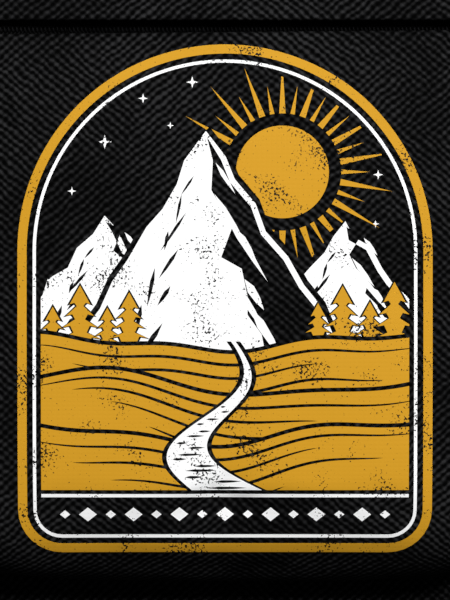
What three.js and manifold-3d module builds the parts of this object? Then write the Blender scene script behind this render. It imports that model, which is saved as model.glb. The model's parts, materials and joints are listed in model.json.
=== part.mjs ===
// A daypack in black woven polyester, stuffed to its shape and standing on its base.
// Millimetres. X runs across the bag, the front pocket faces -Y, Z is up.
// The origin is the middle of the base, on the surface that the bag stands on.
import * as THREE from 'three';
import { mergeVertices } from 'three/addons/utils/BufferGeometryUtils.js';
import Module from 'manifold-3d';

const wasm = await Module();
wasm.setup();

// Driving dimensions
const GAP = 0.3; // between pieces that touch
const BASE = { width: 236, depth: 106, thickness: 4.2, radius: 22 };
const BODY = {
  width: 290, bottom: 4.5, top: 419, depth: 124, bottomRadius: 34, topRadius: 104, taper: 0.07,
  bulge: 4, frontCrown: 9, backCrown: 3,
};
const PIPING_RADIUS = 2;
const POCKET = {
  width: 250, bottom: 44, top: 280, bottomRadius: 50, topRadius: 38, taper: 0.03,
  face: 114, roll: 25, crown: 5,
};
const GROOVE = { z: 248, height: 4, length: 206, lip: 2.2, recessHeight: 12.4, recessDepth: 8 };
const POCKET_ZIP = { width: 11.6, tape: 1, coil: 4, coilRise: 1 };
const MAIN_ZIP = { start: 150, y: -8, width: 30, tape: 1.2, coil: 6, coilRise: 1.2 };
const SLIDER = { length: 12.5, width: 9, thickness: 2.8, post: 1.6, span: 7, bar: 0.75 };
const PULL = { length: 25, width: 7.4, thickness: 1.6, eye: 2.1, eyeHole: 1.12, eyeWidth: 3.6 };
const MAIN_SLIDER = { x: 15, droop: 16 }; // the pull's tip rests this many degrees lower than its bar
const POCKET_SLIDER = { x: -90, lean: 2 }; // the pull hangs this many degrees out from the wall
const BACK_PAD = { width: 200, bottom: 34, top: 336, radius: 42, topRadius: 70, thickness: 9, roll: 5 };
const YOKE = { width: 158, bottom: 346, top: 392, radius: 12, thickness: 2.4 };
const HAUL_LOOP = { span: 84, rise: 36, width: 24, thickness: 2.6, y: 45, tab: 15 };
const STRAP = { width: 60, endWidth: 30, thickness: 9.5, endThickness: 4.5 };
const WEBBING = { width: 25, thickness: 1.6, tail: 128 };
const LOCK = { width: 38, bar: 2.4, rail: 4.4, slot: 27 };
const SIDE_POCKET = { bottom: 40, top: 168, halfDepth: 60.5, mouth: 17, foot: 1.2, thickness: 1.5 };
const SIDE_HEM = { height: 13, thickness: 2 };
const BASE_TAB = { x: 112, z: 46, thickness: 3 };

const AXES = {
  x: new THREE.Vector3(1, 0, 0), y: new THREE.Vector3(0, 1, 0), z: new THREE.Vector3(0, 0, 1),
};

// Finishes
const finish = (color, roughness, metalness = 0) => (
  new THREE.MeshStandardMaterial({ color, roughness, metalness })
);
const weave = () => finish(0x141414, 0.75);
const webbing = () => finish(0x121212, 0.7);
const mesh3d = () => finish(0x161616, 0.85);
const moulded = () => finish(0x101010, 0.45);
const lacquered = () => finish(0x0d0d0d, 0.35, 0.6);

// Closed meshes from rings of points

// Turns the faces of a closed mesh outwards, where they face inwards.
function faceOut(positions, triangles) {
  let volume = 0;
  const [a, b, c] = [new THREE.Vector3(), new THREE.Vector3(), new THREE.Vector3()];
  for (const [i, j, k] of triangles) {
    a.copy(positions[i]);
    b.copy(positions[j]);
    c.copy(positions[k]);
    volume += a.dot(b.cross(c));
  }
  return volume < 0 ? triangles.map(([i, j, k]) => [i, k, j]) : triangles;
}

function closedGeometry(positions, triangles) {
  const geometry = new THREE.BufferGeometry();
  geometry.setAttribute('position', new THREE.Float32BufferAttribute(
    positions.flatMap((p) => [p.x, p.y, p.z]), 3));
  geometry.setIndex(faceOut(positions, triangles).flat());
  return geometry;
}

// Skins a row of rings with the same number of points. The ends are closed by fans,
// or the last ring joins the first where the row is a loop.
function loft(rings, { loop = false } = {}) {
  const count = rings[0].length;
  const positions = rings.flat();
  const triangles = [];
  const rows = loop ? rings.length : rings.length - 1;
  for (let r = 0; r < rows; r += 1) {
    const next = (r + 1) % rings.length;
    for (let i = 0; i < count; i += 1) {
      const j = (i + 1) % count;
      const [a, b] = [r * count + i, r * count + j];
      const [c, d] = [next * count + i, next * count + j];
      triangles.push([a, b, d], [a, d, c]);
    }
  }
  if (!loop) {
    for (const [r, turn] of [[0, true], [rings.length - 1, false]]) {
      const middle = new THREE.Vector3();
      rings[r].forEach((p) => middle.addScaledVector(p, 1 / count));
      const hub = positions.push(middle) - 1;
      for (let i = 0; i < count; i += 1) {
        const [a, b] = [r * count + i, r * count + ((i + 1) % count)];
        triangles.push(turn ? [hub, b, a] : [hub, a, b]);
      }
    }
  }
  return closedGeometry(positions, triangles);
}

// A sheet with thickness, from its two faces given as grids of points: face[row][column].
function slab(outer, inner) {
  const [rows, columns] = [outer.length, outer[0].length];
  const positions = [...outer.flat(), ...inner.flat()];
  const at = (face, r, c) => face * rows * columns + r * columns + c;
  const triangles = [];
  const quad = (a, b, c, d) => triangles.push([a, b, d], [b, c, d]);
  for (let r = 0; r < rows - 1; r += 1) {
    for (let c = 0; c < columns - 1; c += 1) {
      quad(at(0, r, c), at(0, r, c + 1), at(0, r + 1, c + 1), at(0, r + 1, c));
      quad(at(1, r + 1, c), at(1, r + 1, c + 1), at(1, r, c + 1), at(1, r, c));
    }
    quad(at(1, r, 0), at(0, r, 0), at(0, r + 1, 0), at(1, r + 1, 0));
    quad(at(0, r, columns - 1), at(1, r, columns - 1), at(1, r + 1, columns - 1), at(0, r + 1, columns - 1));
  }
  for (let c = 0; c < columns - 1; c += 1) {
    quad(at(0, 0, c), at(1, 0, c), at(1, 0, c + 1), at(0, 0, c + 1));
    quad(at(1, rows - 1, c), at(0, rows - 1, c), at(0, rows - 1, c + 1), at(1, rows - 1, c + 1));
  }
  return closedGeometry(positions, triangles);
}

// Solid joins and cuts

function solid(geometry) {
  const bare = geometry.clone();
  bare.deleteAttribute('normal');
  bare.deleteAttribute('uv');
  const merged = bare.index && !geometry.attributes.normal ? bare : mergeVertices(bare, 1e-4);
  return new wasm.Manifold(new wasm.Mesh({
    numProp: 3,
    vertProperties: merged.attributes.position.array,
    triVerts: new Uint32Array(merged.index.array),
  }));
}

// The largest closed surface of a solid, as a geometry.
function shell(manifold) {
  const pieces = manifold.decompose().sort((a, b) => b.volume() - a.volume());
  const { vertProperties, triVerts } = pieces[0].getMesh();
  const geometry = new THREE.BufferGeometry();
  geometry.setAttribute('position', new THREE.BufferAttribute(vertProperties, 3));
  geometry.setIndex(new THREE.BufferAttribute(triVerts, 1));
  return geometry;
}

const join = (...geometries) => geometries.map(solid).reduce((a, b) => a.add(b));
const block = (x, y, z, cx = 0, cy = 0, cz = 0) => new THREE.BoxGeometry(x, y, z).translate(cx, cy, cz);

// Outlines

// Points (x, z) round a panel with four round corners, counter-clockwise as seen from the front.
// Any inset gives the same number of points, so outlines can be skinned together.
// Each corner arc has its own number of steps, and so has the straight edge that follows it.
function outline(panel, inset = 0, bottomInset = inset) {
  const { width, bottom, top, bottomRadius, topRadius, taper = 0 } = panel;
  const half = width / 2;
  const low = { z: bottom + bottomRadius, radius: bottomRadius, lift: bottomInset, arcSteps: 7 };
  const high = { z: top - topRadius, radius: topRadius, lift: inset, arcSteps: 11 };
  const corners = [
    { ...low, x: half - bottomRadius, start: -90, edgeSteps: 8 },
    { ...high, x: half - topRadius, start: 0, edgeSteps: 4 },
    { ...high, x: topRadius - half, start: 90, edgeSteps: 8 },
    { ...low, x: bottomRadius - half, start: 180, edgeSteps: 6 },
  ];
  const arcs = corners.map(({ x, z, radius, lift, start, arcSteps }) => (
    Array.from({ length: arcSteps + 1 }, (_, i) => {
      const angle = THREE.MathUtils.degToRad(start + (90 * i) / arcSteps);
      return [x + (radius - inset) * Math.cos(angle), z + (radius - lift) * Math.sin(angle)];
    })
  ));
  const points = arcs.flatMap((arc, i) => {
    const [from, to] = [arc.at(-1), arcs[(i + 1) % arcs.length][0]];
    const steps = corners[i].edgeSteps;
    const edge = Array.from({ length: steps - 1 }, (_, k) => (
      from.map((value, axis) => value + ((to[axis] - value) * (k + 1)) / steps)));
    return [...arc, ...edge];
  });
  return points.map(([x, z]) => [x * (1 - (taper * (z - bottom)) / (top - bottom)), z]);
}

const ringAt = (points, y) => points.map(([x, z]) => new THREE.Vector3(x, y, z));

// The same outline drawn in towards its middle, on a crown that is highest there.
function crownRing(points, scale, y, rise) {
  const heights = points.map((p) => p[1]);
  const middle = (Math.min(...heights) + Math.max(...heights)) / 2;
  const away = y + rise * (1 - scale * scale);
  return points.map(([x, z]) => new THREE.Vector3(x * scale, away, middle + (z - middle) * scale));
}

// Main compartment
const BODY_FRONT = -BODY.depth / 2;
const BODY_BACK = BODY.depth / 2;
const bodyBulge = (y) => BODY.bulge * Math.sin((Math.PI * (y - BODY_FRONT)) / BODY.depth);

function bodyGeometry(grow = 0) {
  const edge = outline(BODY, -grow);
  const rings = [0.15, 0.45, 0.75, 0.92].map((s) => (
    crownRing(edge, s, BODY_FRONT - grow, -BODY.frontCrown)));
  rings.push(ringAt(edge, BODY_FRONT - grow));
  for (let i = 1; i < 6; i += 1) {
    const y = BODY_FRONT + (BODY.depth * i) / 6;
    rings.push(ringAt(outline(BODY, -bodyBulge(y) - grow, -grow), y));
  }
  rings.push(ringAt(edge, BODY_BACK + grow));
  [0.9, 0.6, 0.2].forEach((s) => rings.push(crownRing(edge, s, BODY_BACK + grow, BODY.backCrown)));
  return loft(rings);
}

const bodySpace = solid(bodyGeometry(GAP));
const seatOnBody = (geometry) => shell(solid(geometry).subtract(bodySpace));

function pipingGeometry(y, side) {
  const out = PIPING_RADIUS * Math.SQRT1_2 + GAP;
  const centres = outline(BODY, -out);
  const middle = new THREE.Vector3(0, 0, (BODY.bottom + BODY.top) / 2);
  const rings = centres.map(([x, z], i) => {
    const [px, pz] = centres.at(i - 1);
    const [nx, nz] = centres[(i + 1) % centres.length];
    const along = new THREE.Vector3(nx - px, 0, nz - pz).normalize();
    const outwards = new THREE.Vector3(along.z, 0, -along.x);
    const centre = new THREE.Vector3(x, y + side * out, z);
    if (outwards.dot(centre.clone().sub(middle)) < 0) outwards.negate();
    return Array.from({ length: 6 }, (_, k) => {
      const angle = (Math.PI * k) / 3;
      return centre.clone()
        .addScaledVector(outwards, PIPING_RADIUS * Math.cos(angle))
        .add(new THREE.Vector3(0, PIPING_RADIUS * Math.sin(angle), 0));
    });
  });
  return loft(rings, { loop: true });
}

function baseGeometry() {
  const shape = new THREE.Shape();
  const [hx, hy, r] = [BASE.width / 2, BASE.depth / 2, BASE.radius];
  shape.absarc(hx - r, hy - r, r, 0, Math.PI / 2);
  shape.absarc(r - hx, hy - r, r, Math.PI / 2, Math.PI);
  shape.absarc(r - hx, r - hy, r, Math.PI, 1.5 * Math.PI);
  shape.absarc(hx - r, r - hy, r, 1.5 * Math.PI, 2 * Math.PI);
  return new THREE.ExtrudeGeometry(shape, { depth: BASE.thickness, bevelEnabled: false, curveSegments: 6 });
}

// Zips

// The tape and coil over the gusset, from one side over the top to the other.
function mainZipGeometry() {
  const lift = BODY.bulge + GAP;
  const points = outline(BODY, -lift);
  const first = points.findIndex(([x, z]) => x > 0 && z >= MAIN_ZIP.start);
  const last = points.findLastIndex(([x, z]) => x < 0 && z >= MAIN_ZIP.start);
  const [w, c] = [MAIN_ZIP.width / 2, MAIN_ZIP.coil / 2];
  const section = [[-w, 0], [w, 0], [w, MAIN_ZIP.tape], [c, MAIN_ZIP.tape],
    [c * 0.8, MAIN_ZIP.tape + MAIN_ZIP.coilRise], [-c * 0.8, MAIN_ZIP.tape + MAIN_ZIP.coilRise],
    [-c, MAIN_ZIP.tape], [-w, MAIN_ZIP.tape]];
  const rings = [];
  for (let i = first; i <= last; i += 1) {
    const along = new THREE.Vector2(...points[i + 1]).sub(new THREE.Vector2(...points[i - 1])).normalize();
    rings.push(section.map(([across, height]) => new THREE.Vector3(
      points[i][0] + along.y * height, MAIN_ZIP.y + across, points[i][1] - along.x * height)));
  }
  return loft(rings);
}

// Zip slider. Local axes: x along the zip, y out of it, z across it, y = 0 under the slider.
function sliderGeometry(barHeight) {
  const { length, width, thickness, post, span, bar } = SLIDER;
  const plan = new THREE.Shape([
    [-length / 2, -width * 0.32], [-length * 0.1, -width / 2], [length / 2 - 2, -width / 2],
    [length / 2, -width * 0.3], [length / 2, width * 0.3], [length / 2 - 2, width / 2],
    [-length * 0.1, width / 2], [-length / 2, width * 0.32],
  ].map(([x, z]) => new THREE.Vector2(x, -z)));
  const plate = new THREE.ExtrudeGeometry(plan, { depth: thickness, bevelEnabled: false })
    .rotateX(-Math.PI / 2);
  const posts = [-1, 1].map((side) => (
    block(post, barHeight + bar - 0.2, 2.6, (side * (span + post)) / 2, (barHeight + bar + 0.2) / 2, 0)));
  const pin = new THREE.CylinderGeometry(bar, bar, span + post, 10)
    .rotateZ(Math.PI / 2).translate(0, barHeight, 0);
  return shell(join(plate, ...posts, pin));
}

// Pull tab, which hangs from the slider's bar along +z, with the bar on its x axis.
function pullGeometry() {
  const { length, width, thickness, eye, eyeHole, eyeWidth } = PULL;
  const ring = new THREE.Shape().absarc(0, 0, eye, 0, 2 * Math.PI);
  ring.holes.push(new THREE.Path().absarc(0, 0, eyeHole, 0, 2 * Math.PI));
  const knuckle = new THREE.ExtrudeGeometry(ring, { depth: eyeWidth, bevelEnabled: false, curveSegments: 9 })
    .rotateY(Math.PI / 2).translate(-eyeWidth / 2, 0, 0);
  const plan = new THREE.Shape();
  const half = width / 2;
  plan.moveTo(-eyeWidth / 2, eye * 0.8);
  plan.lineTo(eyeWidth / 2, eye * 0.8);
  plan.lineTo(half, eye + 4);
  plan.absarc(0, length - half, half, 0, Math.PI);
  plan.lineTo(-half, eye + 4);
  const slot = new THREE.Path();
  slot.absarc(0, length - half, half * 0.45, 0, Math.PI);
  slot.absarc(0, length - half - 5, half * 0.45, Math.PI, 2 * Math.PI);
  plan.holes.push(slot);
  const plate = new THREE.ExtrudeGeometry(plan, { depth: thickness, bevelEnabled: false, curveSegments: 7 })
    .translate(0, 0, -thickness / 2).rotateX(Math.PI / 2);
  return shell(join(knuckle, plate));
}

// Front pocket
const GROOVE_FACE = -POCKET.face - POCKET.crown * (1 - 0.88 ** 2);

function pocketGeometry() {
  const { face, roll, crown } = POCKET;
  const rings = [ringAt(outline(POCKET), BODY_FRONT + 6)];
  for (const turn of [0, 18, 36, 54, 72]) {
    const angle = THREE.MathUtils.degToRad(turn);
    rings.push(ringAt(outline(POCKET, roll * (1 - Math.cos(angle))), -face + roll * (1 - Math.sin(angle))));
  }
  const front = outline(POCKET, roll);
  [1, 0.94, 0.8, 0.5, 0.2].forEach((s) => rings.push(crownRing(front, s, -face, -crown)));
  const { z, height, length, lip, recessHeight, recessDepth } = GROOVE;
  const reach = 30;
  const slot = block(length, reach, height, 0, GROOVE_FACE + lip + 1 - reach / 2, z);
  const recess = block(length, recessDepth - lip, recessHeight, 0, GROOVE_FACE + (lip + recessDepth) / 2, z);
  return shell(solid(loft(rings)).subtract(bodySpace).subtract(join(slot, recess)));
}

function pocketZipGeometry() {
  const back = GROOVE_FACE + GROOVE.recessDepth - GAP;
  const length = GROOVE.length - 2 * GAP;
  const rise = POCKET_ZIP.tape + POCKET_ZIP.coilRise;
  const tape = block(length, POCKET_ZIP.tape, POCKET_ZIP.width, 0, back - POCKET_ZIP.tape / 2, GROOVE.z);
  const coil = block(length, rise, POCKET_ZIP.coil, 0, back - rise / 2, GROOVE.z);
  return shell(join(tape, coil));
}

// Back of the bag

function backPadGeometry() {
  const panel = {
    width: BACK_PAD.width, bottom: BACK_PAD.bottom, top: BACK_PAD.top,
    bottomRadius: BACK_PAD.radius, topRadius: BACK_PAD.topRadius, taper: 0.08,
  };
  const crest = BODY_BACK + BODY.backCrown + BACK_PAD.thickness;
  const rings = [ringAt(outline(panel), BODY_BACK - 3)];
  [10, 35, 60, 90].forEach((turn) => {
    const angle = THREE.MathUtils.degToRad(turn);
    rings.push(ringAt(outline(panel, BACK_PAD.roll * (1 - Math.cos(angle))),
      crest - BACK_PAD.roll * (1 - Math.sin(angle))));
  });
  return seatOnBody(loft(rings));
}

function yokeGeometry() {
  const panel = { ...YOKE, bottomRadius: YOKE.radius, topRadius: YOKE.radius, taper: 0.06 };
  const face = BODY_BACK + BODY.backCrown + YOKE.thickness;
  return seatOnBody(loft([
    ringAt(outline(panel), BODY_BACK - 3),
    ringAt(outline(panel), face - 0.8),
    ringAt(outline(panel, 0.8), face),
  ]));
}

// A flat band along a path. describe(t) gives its width, thickness and the direction across it,
// and edge is the share of the thickness that its edges are bevelled by on each face.
function ribbon(path, steps, describe, edge = 0.3) {
  const rings = [];
  for (let i = 0; i <= steps; i += 1) {
    const t = i / steps;
    const { width, thickness, across } = describe(t);
    const along = path.getTangent(t);
    const face = new THREE.Vector3().crossVectors(across, along).normalize();
    const side = new THREE.Vector3().crossVectors(along, face).normalize();
    const [w, h] = [width / 2, thickness / 2];
    const bevel = Math.min(h, w) * edge;
    const section = [[-w, -h + bevel], [-w + bevel, -h], [w - bevel, -h], [w, -h + bevel],
      [w, h - bevel], [w - bevel, h], [-w + bevel, h], [-w, h - bevel]];
    rings.push(section.map(([a, b]) => path.getPoint(t).addScaledVector(side, a).addScaledVector(face, b)));
  }
  return loft(rings);
}

function haulLoopGeometry() {
  const { span, rise, width, thickness, y, tab } = HAUL_LOOP;
  const foot = BODY.top + 0.6;
  const half = span / 2;
  const rightHalf = [[half - 27, foot + rise * 0.95], [half - 13, foot + rise * 0.66], [half - 5, foot + 7],
    [half + 3, foot + 0.3], [half + tab, foot]];
  const leftHalf = rightHalf.map(([x, z]) => [-x, z]).reverse();
  const points = [...leftHalf, [0, foot + rise], ...rightHalf];
  const path = new THREE.CatmullRomCurve3(points.map(([x, z]) => new THREE.Vector3(x, y, z)));
  return seatOnBody(ribbon(path, 36, () => ({ width, thickness, across: AXES.y })));
}

const mirrorX = (points, side) => points.map(([x, y, z]) => new THREE.Vector3(side * x, y, z));

// Shoulder straps: padded from the top of the back down to the adjuster.
const STRAP_PATH = [[40, 63, 404], [40, 76, 404], [45, 92, 392], [53, 105, 352], [63, 112, 300],
  [74, 110, 250], [84, 102, 206], [91, 94, 178]];

function strapGeometry(side) {
  const path = new THREE.CatmullRomCurve3(mirrorX(STRAP_PATH, side), false, 'centripetal');
  const ease = (t) => THREE.MathUtils.smoothstep(t, 0.72, 1);
  return ribbon(path, 30, (t) => ({
    width: THREE.MathUtils.lerp(STRAP.width, STRAP.endWidth, ease(t)),
    thickness: THREE.MathUtils.lerp(STRAP.thickness, STRAP.endThickness, ease(t)),
    across: AXES.x,
  }), 0.7);
}

// Frame of the adjuster on one side: down the webbing, across it and out of it.
function lockFrame(side) {
  const [end] = mirrorX([STRAP_PATH.at(-1)], side);
  const path = new THREE.CatmullRomCurve3(mirrorX(STRAP_PATH, side), false, 'centripetal');
  const down = path.getTangent(1);
  const out = new THREE.Vector3().crossVectors(AXES.x, down).normalize();
  if (out.y < 0) out.negate();
  const across = new THREE.Vector3().crossVectors(down, out).normalize();
  return { end, down, out, across };
}

function lockGeometry(side) {
  const { end, down, out, across } = lockFrame(side);
  const bars = [[0, 4.5], [10.5, 14.5], [21, 25]]; // distances from the strap's end
  const [width, rail] = [LOCK.width, (LOCK.width - LOCK.slot) / 2];
  const parts = bars.map(([from, to]) => block(width - 2, to - from, LOCK.bar, 0, (from + to) / 2, 0));
  [-1, 1].forEach((s) => parts.push(block(rail, 25, LOCK.rail, (s * (width - rail)) / 2, 12.5, 0)));
  const place = new THREE.Matrix4().makeBasis(across, down, out)
    .setPosition(end.clone().addScaledVector(down, GAP));
  return shell(join(...parts)).applyMatrix4(place);
}

// Lower webbing: from the base tab up behind the adjuster, over its middle bar and down as a loose tail.
function lowerWebbingGeometry(side) {
  const { end, down, out } = lockFrame(side);
  const at = (along, outwards) => (
    end.clone().addScaledVector(down, GAP + along).addScaledVector(out, outwards));
  const turn = LOCK.bar / 2 + 0.6 + WEBBING.thickness / 2;
  const barMiddle = 12.5;
  const anchor = new THREE.Vector3(
    side * (BASE_TAB.x + 11), BODY_BACK + BASE_TAB.thickness + 3.6, BASE_TAB.z + 12);
  const halfway = anchor.clone().lerp(at(40, -turn), 0.5).addScaledVector(AXES.y, 3);
  const points = [anchor, halfway, at(40, -turn), at(28, -turn), at(18, -turn)];
  for (let i = 0; i <= 6; i += 1) {
    const angle = (Math.PI * i) / 6;
    points.push(at(barMiddle - 2 - turn * Math.sin(angle), -turn * Math.cos(angle)));
  }
  points.push(at(18, turn), at(28, turn));
  const tailTop = at(40, turn + 1);
  points.push(tailTop);
  for (let i = 1; i <= 4; i += 1) {
    points.push(tailTop.clone().add(new THREE.Vector3(
      side * 1.5 * i, 2.6 * Math.sin(i * 1.1), (-i * (WEBBING.tail - 40)) / 4)));
  }
  const path = new THREE.CatmullRomCurve3(points, false, 'centripetal');
  return ribbon(path, 42, () => ({
    width: WEBBING.width, thickness: WEBBING.thickness, across: AXES.x,
  }), 0.2);
}

function baseTabGeometry(side) {
  const plan = new THREE.Shape([[-20, -14], [24, -8], [26, 4], [22, 14], [0, 12]]
    .map(([x, z]) => new THREE.Vector2(side * (BASE_TAB.x + x), -(BASE_TAB.z + z))));
  const geometry = new THREE.ExtrudeGeometry(plan, { depth: BASE_TAB.thickness + 3, bevelEnabled: false })
    .rotateX(-Math.PI / 2).translate(0, BODY_BACK - 3, 0);
  return seatOnBody(geometry);
}

// Side pockets: open pouches on the gusset, wide at the mouth and sewn down at the foot.
const bodySide = (y, z) => {
  const lean = 1 - (BODY.taper * (z - BODY.bottom)) / (BODY.top - BODY.bottom);
  return (BODY.width / 2 + bodyBulge(y)) * lean;
};

function pouchPoint(side, u, v, out) {
  const y = -SIDE_POCKET.halfDepth + 2 * SIDE_POCKET.halfDepth * u;
  const z = SIDE_POCKET.bottom + (SIDE_POCKET.top - SIDE_POCKET.bottom) * v;
  const swell = THREE.MathUtils.lerp(SIDE_POCKET.foot, SIDE_POCKET.mouth, Math.sin((v * Math.PI) / 2) ** 0.8);
  const away = swell * Math.sin(Math.PI * u) ** 0.75;
  return new THREE.Vector3(side * (bodySide(y, z) + GAP + 0.15 + away + out), y, z);
}

function pouchGeometry(side, inner, outer, from, to, rows) {
  const columns = 14;
  const grid = (out) => Array.from({ length: rows + 1 }, (_, r) => (
    Array.from({ length: columns + 1 }, (_, c) => (
      pouchPoint(side, c / columns, from + ((to - from) * r) / rows, out)))));
  return slab(grid(outer), grid(inner));
}

// The scene graph
const bag = new THREE.Group();

function add(name, geometry, material, parent = bag) {
  const piece = new THREE.Mesh(geometry, material);
  piece.name = name;
  parent.add(piece);
  return piece;
}

function addZipPull(prefix, at, basis, barHeight, droop) {
  const group = new THREE.Group();
  group.position.copy(at);
  group.quaternion.setFromRotationMatrix(new THREE.Matrix4().makeBasis(...basis));
  add(`${prefix}_slider`, sliderGeometry(barHeight), lacquered(), group);
  const pull = add(`${prefix}_pull`, pullGeometry(), lacquered(), group);
  pull.position.set(0, barHeight, 0);
  pull.rotation.x = THREE.MathUtils.degToRad(droop);
  bag.add(group);
}

add('base_panel', baseGeometry(), weave());
add('body', bodyGeometry(), weave());
add('front_piping', pipingGeometry(BODY_FRONT, -1), webbing());
add('back_piping', pipingGeometry(BODY_BACK, 1), webbing());
add('main_zip', mainZipGeometry(), weave());
add('front_pocket', pocketGeometry(), weave());
add('pocket_zip', pocketZipGeometry(), weave());
add('back_pad', backPadGeometry(), mesh3d());
add('strap_yoke', yokeGeometry(), weave());
add('haul_loop', haulLoopGeometry(), webbing());

const mainZipTop = BODY.top + BODY.bulge + GAP + MAIN_ZIP.tape + MAIN_ZIP.coilRise + GAP;
for (const [name, side] of [['left', -1], ['right', 1]]) {
  addZipPull(`main_${name}`, new THREE.Vector3(side * MAIN_SLIDER.x, MAIN_ZIP.y, mainZipTop),
    [AXES.x, AXES.z, AXES.y.clone().negate()], SLIDER.thickness + PULL.eye + 0.4, MAIN_SLIDER.droop);
}
const coilFace = GROOVE_FACE + GROOVE.recessDepth - GAP - POCKET_ZIP.tape - POCKET_ZIP.coilRise;
addZipPull('pocket', new THREE.Vector3(POCKET_SLIDER.x, coilFace - GAP, GROOVE.z),
  [AXES.x, AXES.y.clone().negate(), AXES.z.clone().negate()], coilFace - GAP - GROOVE_FACE + PULL.eye + 0.5,
  -POCKET_SLIDER.lean);

for (const [name, side] of [['left', -1], ['right', 1]]) {
  add(`strap_${name}`, strapGeometry(side), weave());
  add(`ladder_lock_${name}`, lockGeometry(side), moulded());
  add(`lower_webbing_${name}`, lowerWebbingGeometry(side), webbing());
  add(`base_tab_${name}`, baseTabGeometry(side), weave());
  const { thickness } = SIDE_POCKET;
  add(`side_pocket_${name}`, pouchGeometry(side, 0, thickness, 0, 1, 10), weave());
  const hemFrom = 1 - SIDE_HEM.height / (SIDE_POCKET.top - SIDE_POCKET.bottom);
  const hemInner = thickness + GAP + 0.1;
  add(`side_pocket_hem_${name}`,
    pouchGeometry(side, hemInner, hemInner + SIDE_HEM.thickness, hemFrom, 1, 2), webbing());
}

export default bag;
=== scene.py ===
# The looks of a black woven daypack with a printed front pocket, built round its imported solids.
# Lengths are millimetres, turned to metres where a piece is made. The front faces -Y, Z is up.
import json
import math

import bmesh
import bpy
import numpy as np
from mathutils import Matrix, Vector, noise
from mathutils.bvhtree import BVHTree
from mathutils.geometry import delaunay_2d_cdt

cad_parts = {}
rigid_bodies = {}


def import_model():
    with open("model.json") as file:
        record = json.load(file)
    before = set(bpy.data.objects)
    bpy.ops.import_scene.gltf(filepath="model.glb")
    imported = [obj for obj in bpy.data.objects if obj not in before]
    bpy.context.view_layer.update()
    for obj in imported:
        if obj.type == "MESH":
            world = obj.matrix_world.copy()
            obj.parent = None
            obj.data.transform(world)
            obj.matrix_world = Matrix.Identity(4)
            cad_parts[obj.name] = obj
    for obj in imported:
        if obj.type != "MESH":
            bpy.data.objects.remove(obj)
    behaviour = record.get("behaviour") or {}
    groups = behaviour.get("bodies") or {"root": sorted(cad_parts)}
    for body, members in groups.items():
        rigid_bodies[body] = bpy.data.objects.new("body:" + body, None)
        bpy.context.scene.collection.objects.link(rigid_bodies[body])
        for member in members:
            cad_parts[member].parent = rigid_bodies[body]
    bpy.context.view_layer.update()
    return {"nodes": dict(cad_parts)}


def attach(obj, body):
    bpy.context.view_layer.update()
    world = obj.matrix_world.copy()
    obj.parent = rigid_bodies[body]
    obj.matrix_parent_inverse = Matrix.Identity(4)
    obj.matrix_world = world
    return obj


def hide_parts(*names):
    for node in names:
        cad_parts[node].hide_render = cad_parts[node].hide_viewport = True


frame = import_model()
MM = 0.001

# Sizes shared with the solids
BODY = {"width": 290, "bottom": 4.5, "top": 419, "low_radius": 34, "high_radius": 104, "taper": 0.07}
BODY_FRONT, BODY_BACK = -62.0, 62.0
BODY_BULGE, FRONT_CROWN, BACK_CROWN = 4.0, 9.0, 3.0
POCKET = {"width": 250, "bottom": 44, "top": 280, "low_radius": 50, "high_radius": 38, "taper": 0.03}
POCKET_FACE, POCKET_ROLL, POCKET_CROWN = -114.0, 25.0, 5.0
GROOVE_Z, GROOVE_HALF = 248.0, 103.0
BACK_PAD = {"width": 200, "bottom": 34, "top": 336, "low_radius": 42, "high_radius": 70, "taper": 0.08}
STRAP_PATH = [(40, 63, 404), (40, 76, 404), (45, 92, 392), (53, 105, 352), (63, 112, 300),
              (74, 110, 250), (84, 102, 206), (91, 94, 178)]
MAIN_ZIP_Y, MAIN_ZIP_START = -8.0, 176.0
SIDE_POCKET_BOTTOM, SIDE_POCKET_TOP, SIDE_POCKET_HALF = 40.0, 168.0, 60.5
SLIDER_X = -90.0  # where the pocket's slider is parked
WEBBING_WIDTH, WEBBING_THICKNESS = 25.0, 1.6

# The photograph's frame on the pocket's face
FRAME_PIXELS = (450, 600)
MM_PER_PIXEL = 0.366
GROOVE_PIXEL_Y = 24.5
CAMERA_DISTANCE = 1200.0

# Ways into the bag for laying pieces on it, and where such a ray starts
INTO_FRONT, INTO_BACK, FROM_ABOVE = (0, 1, 0), (0, -1, 0), (0, 0, -1)
OUT_FRONT, OUT_BACK = -300.0, 300.0


# Colour and nodes

LAYER = "cloth"  # the UV map that holds each point's place on its cloth
NOISE_LOW, NOISE_HIGH = 0.3, 0.7  # nearly all of a noise texture's values lie between these
GREY_CENTRE = (0.5, 0.5, 0.5)


def srgb(code):
    """A hex colour as linear values with alpha."""
    values = [int(code[i:i + 2], 16) / 255 for i in (1, 3, 5)]
    return [v / 12.92 if v <= 0.04045 else ((v + 0.055) / 1.055) ** 2.4 for v in values] + [1.0]


def put(tree, kind, settings=None, inputs=None, output=0):
    """Adds a node, sets it, sets or links its inputs, and gives one of its outputs."""
    node = tree.nodes.new(kind)
    for key, value in (settings or {}).items():
        setattr(node, key, value)
    for key, value in (inputs or {}).items():
        socket = node.inputs[key]
        if isinstance(value, bpy.types.NodeSocket):
            tree.links.new(value, socket)
        else:
            socket.default_value = value
    return node.outputs[output] if node.outputs else None


def new_material(name):
    material = bpy.data.materials.new(name)
    material.use_nodes = True
    material.node_tree.nodes.clear()
    return material, material.node_tree


def finish_surface(tree, inputs):
    shader = put(tree, "ShaderNodeBsdfPrincipled", None, inputs)
    put(tree, "ShaderNodeOutputMaterial", None, {"Surface": shader})


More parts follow.
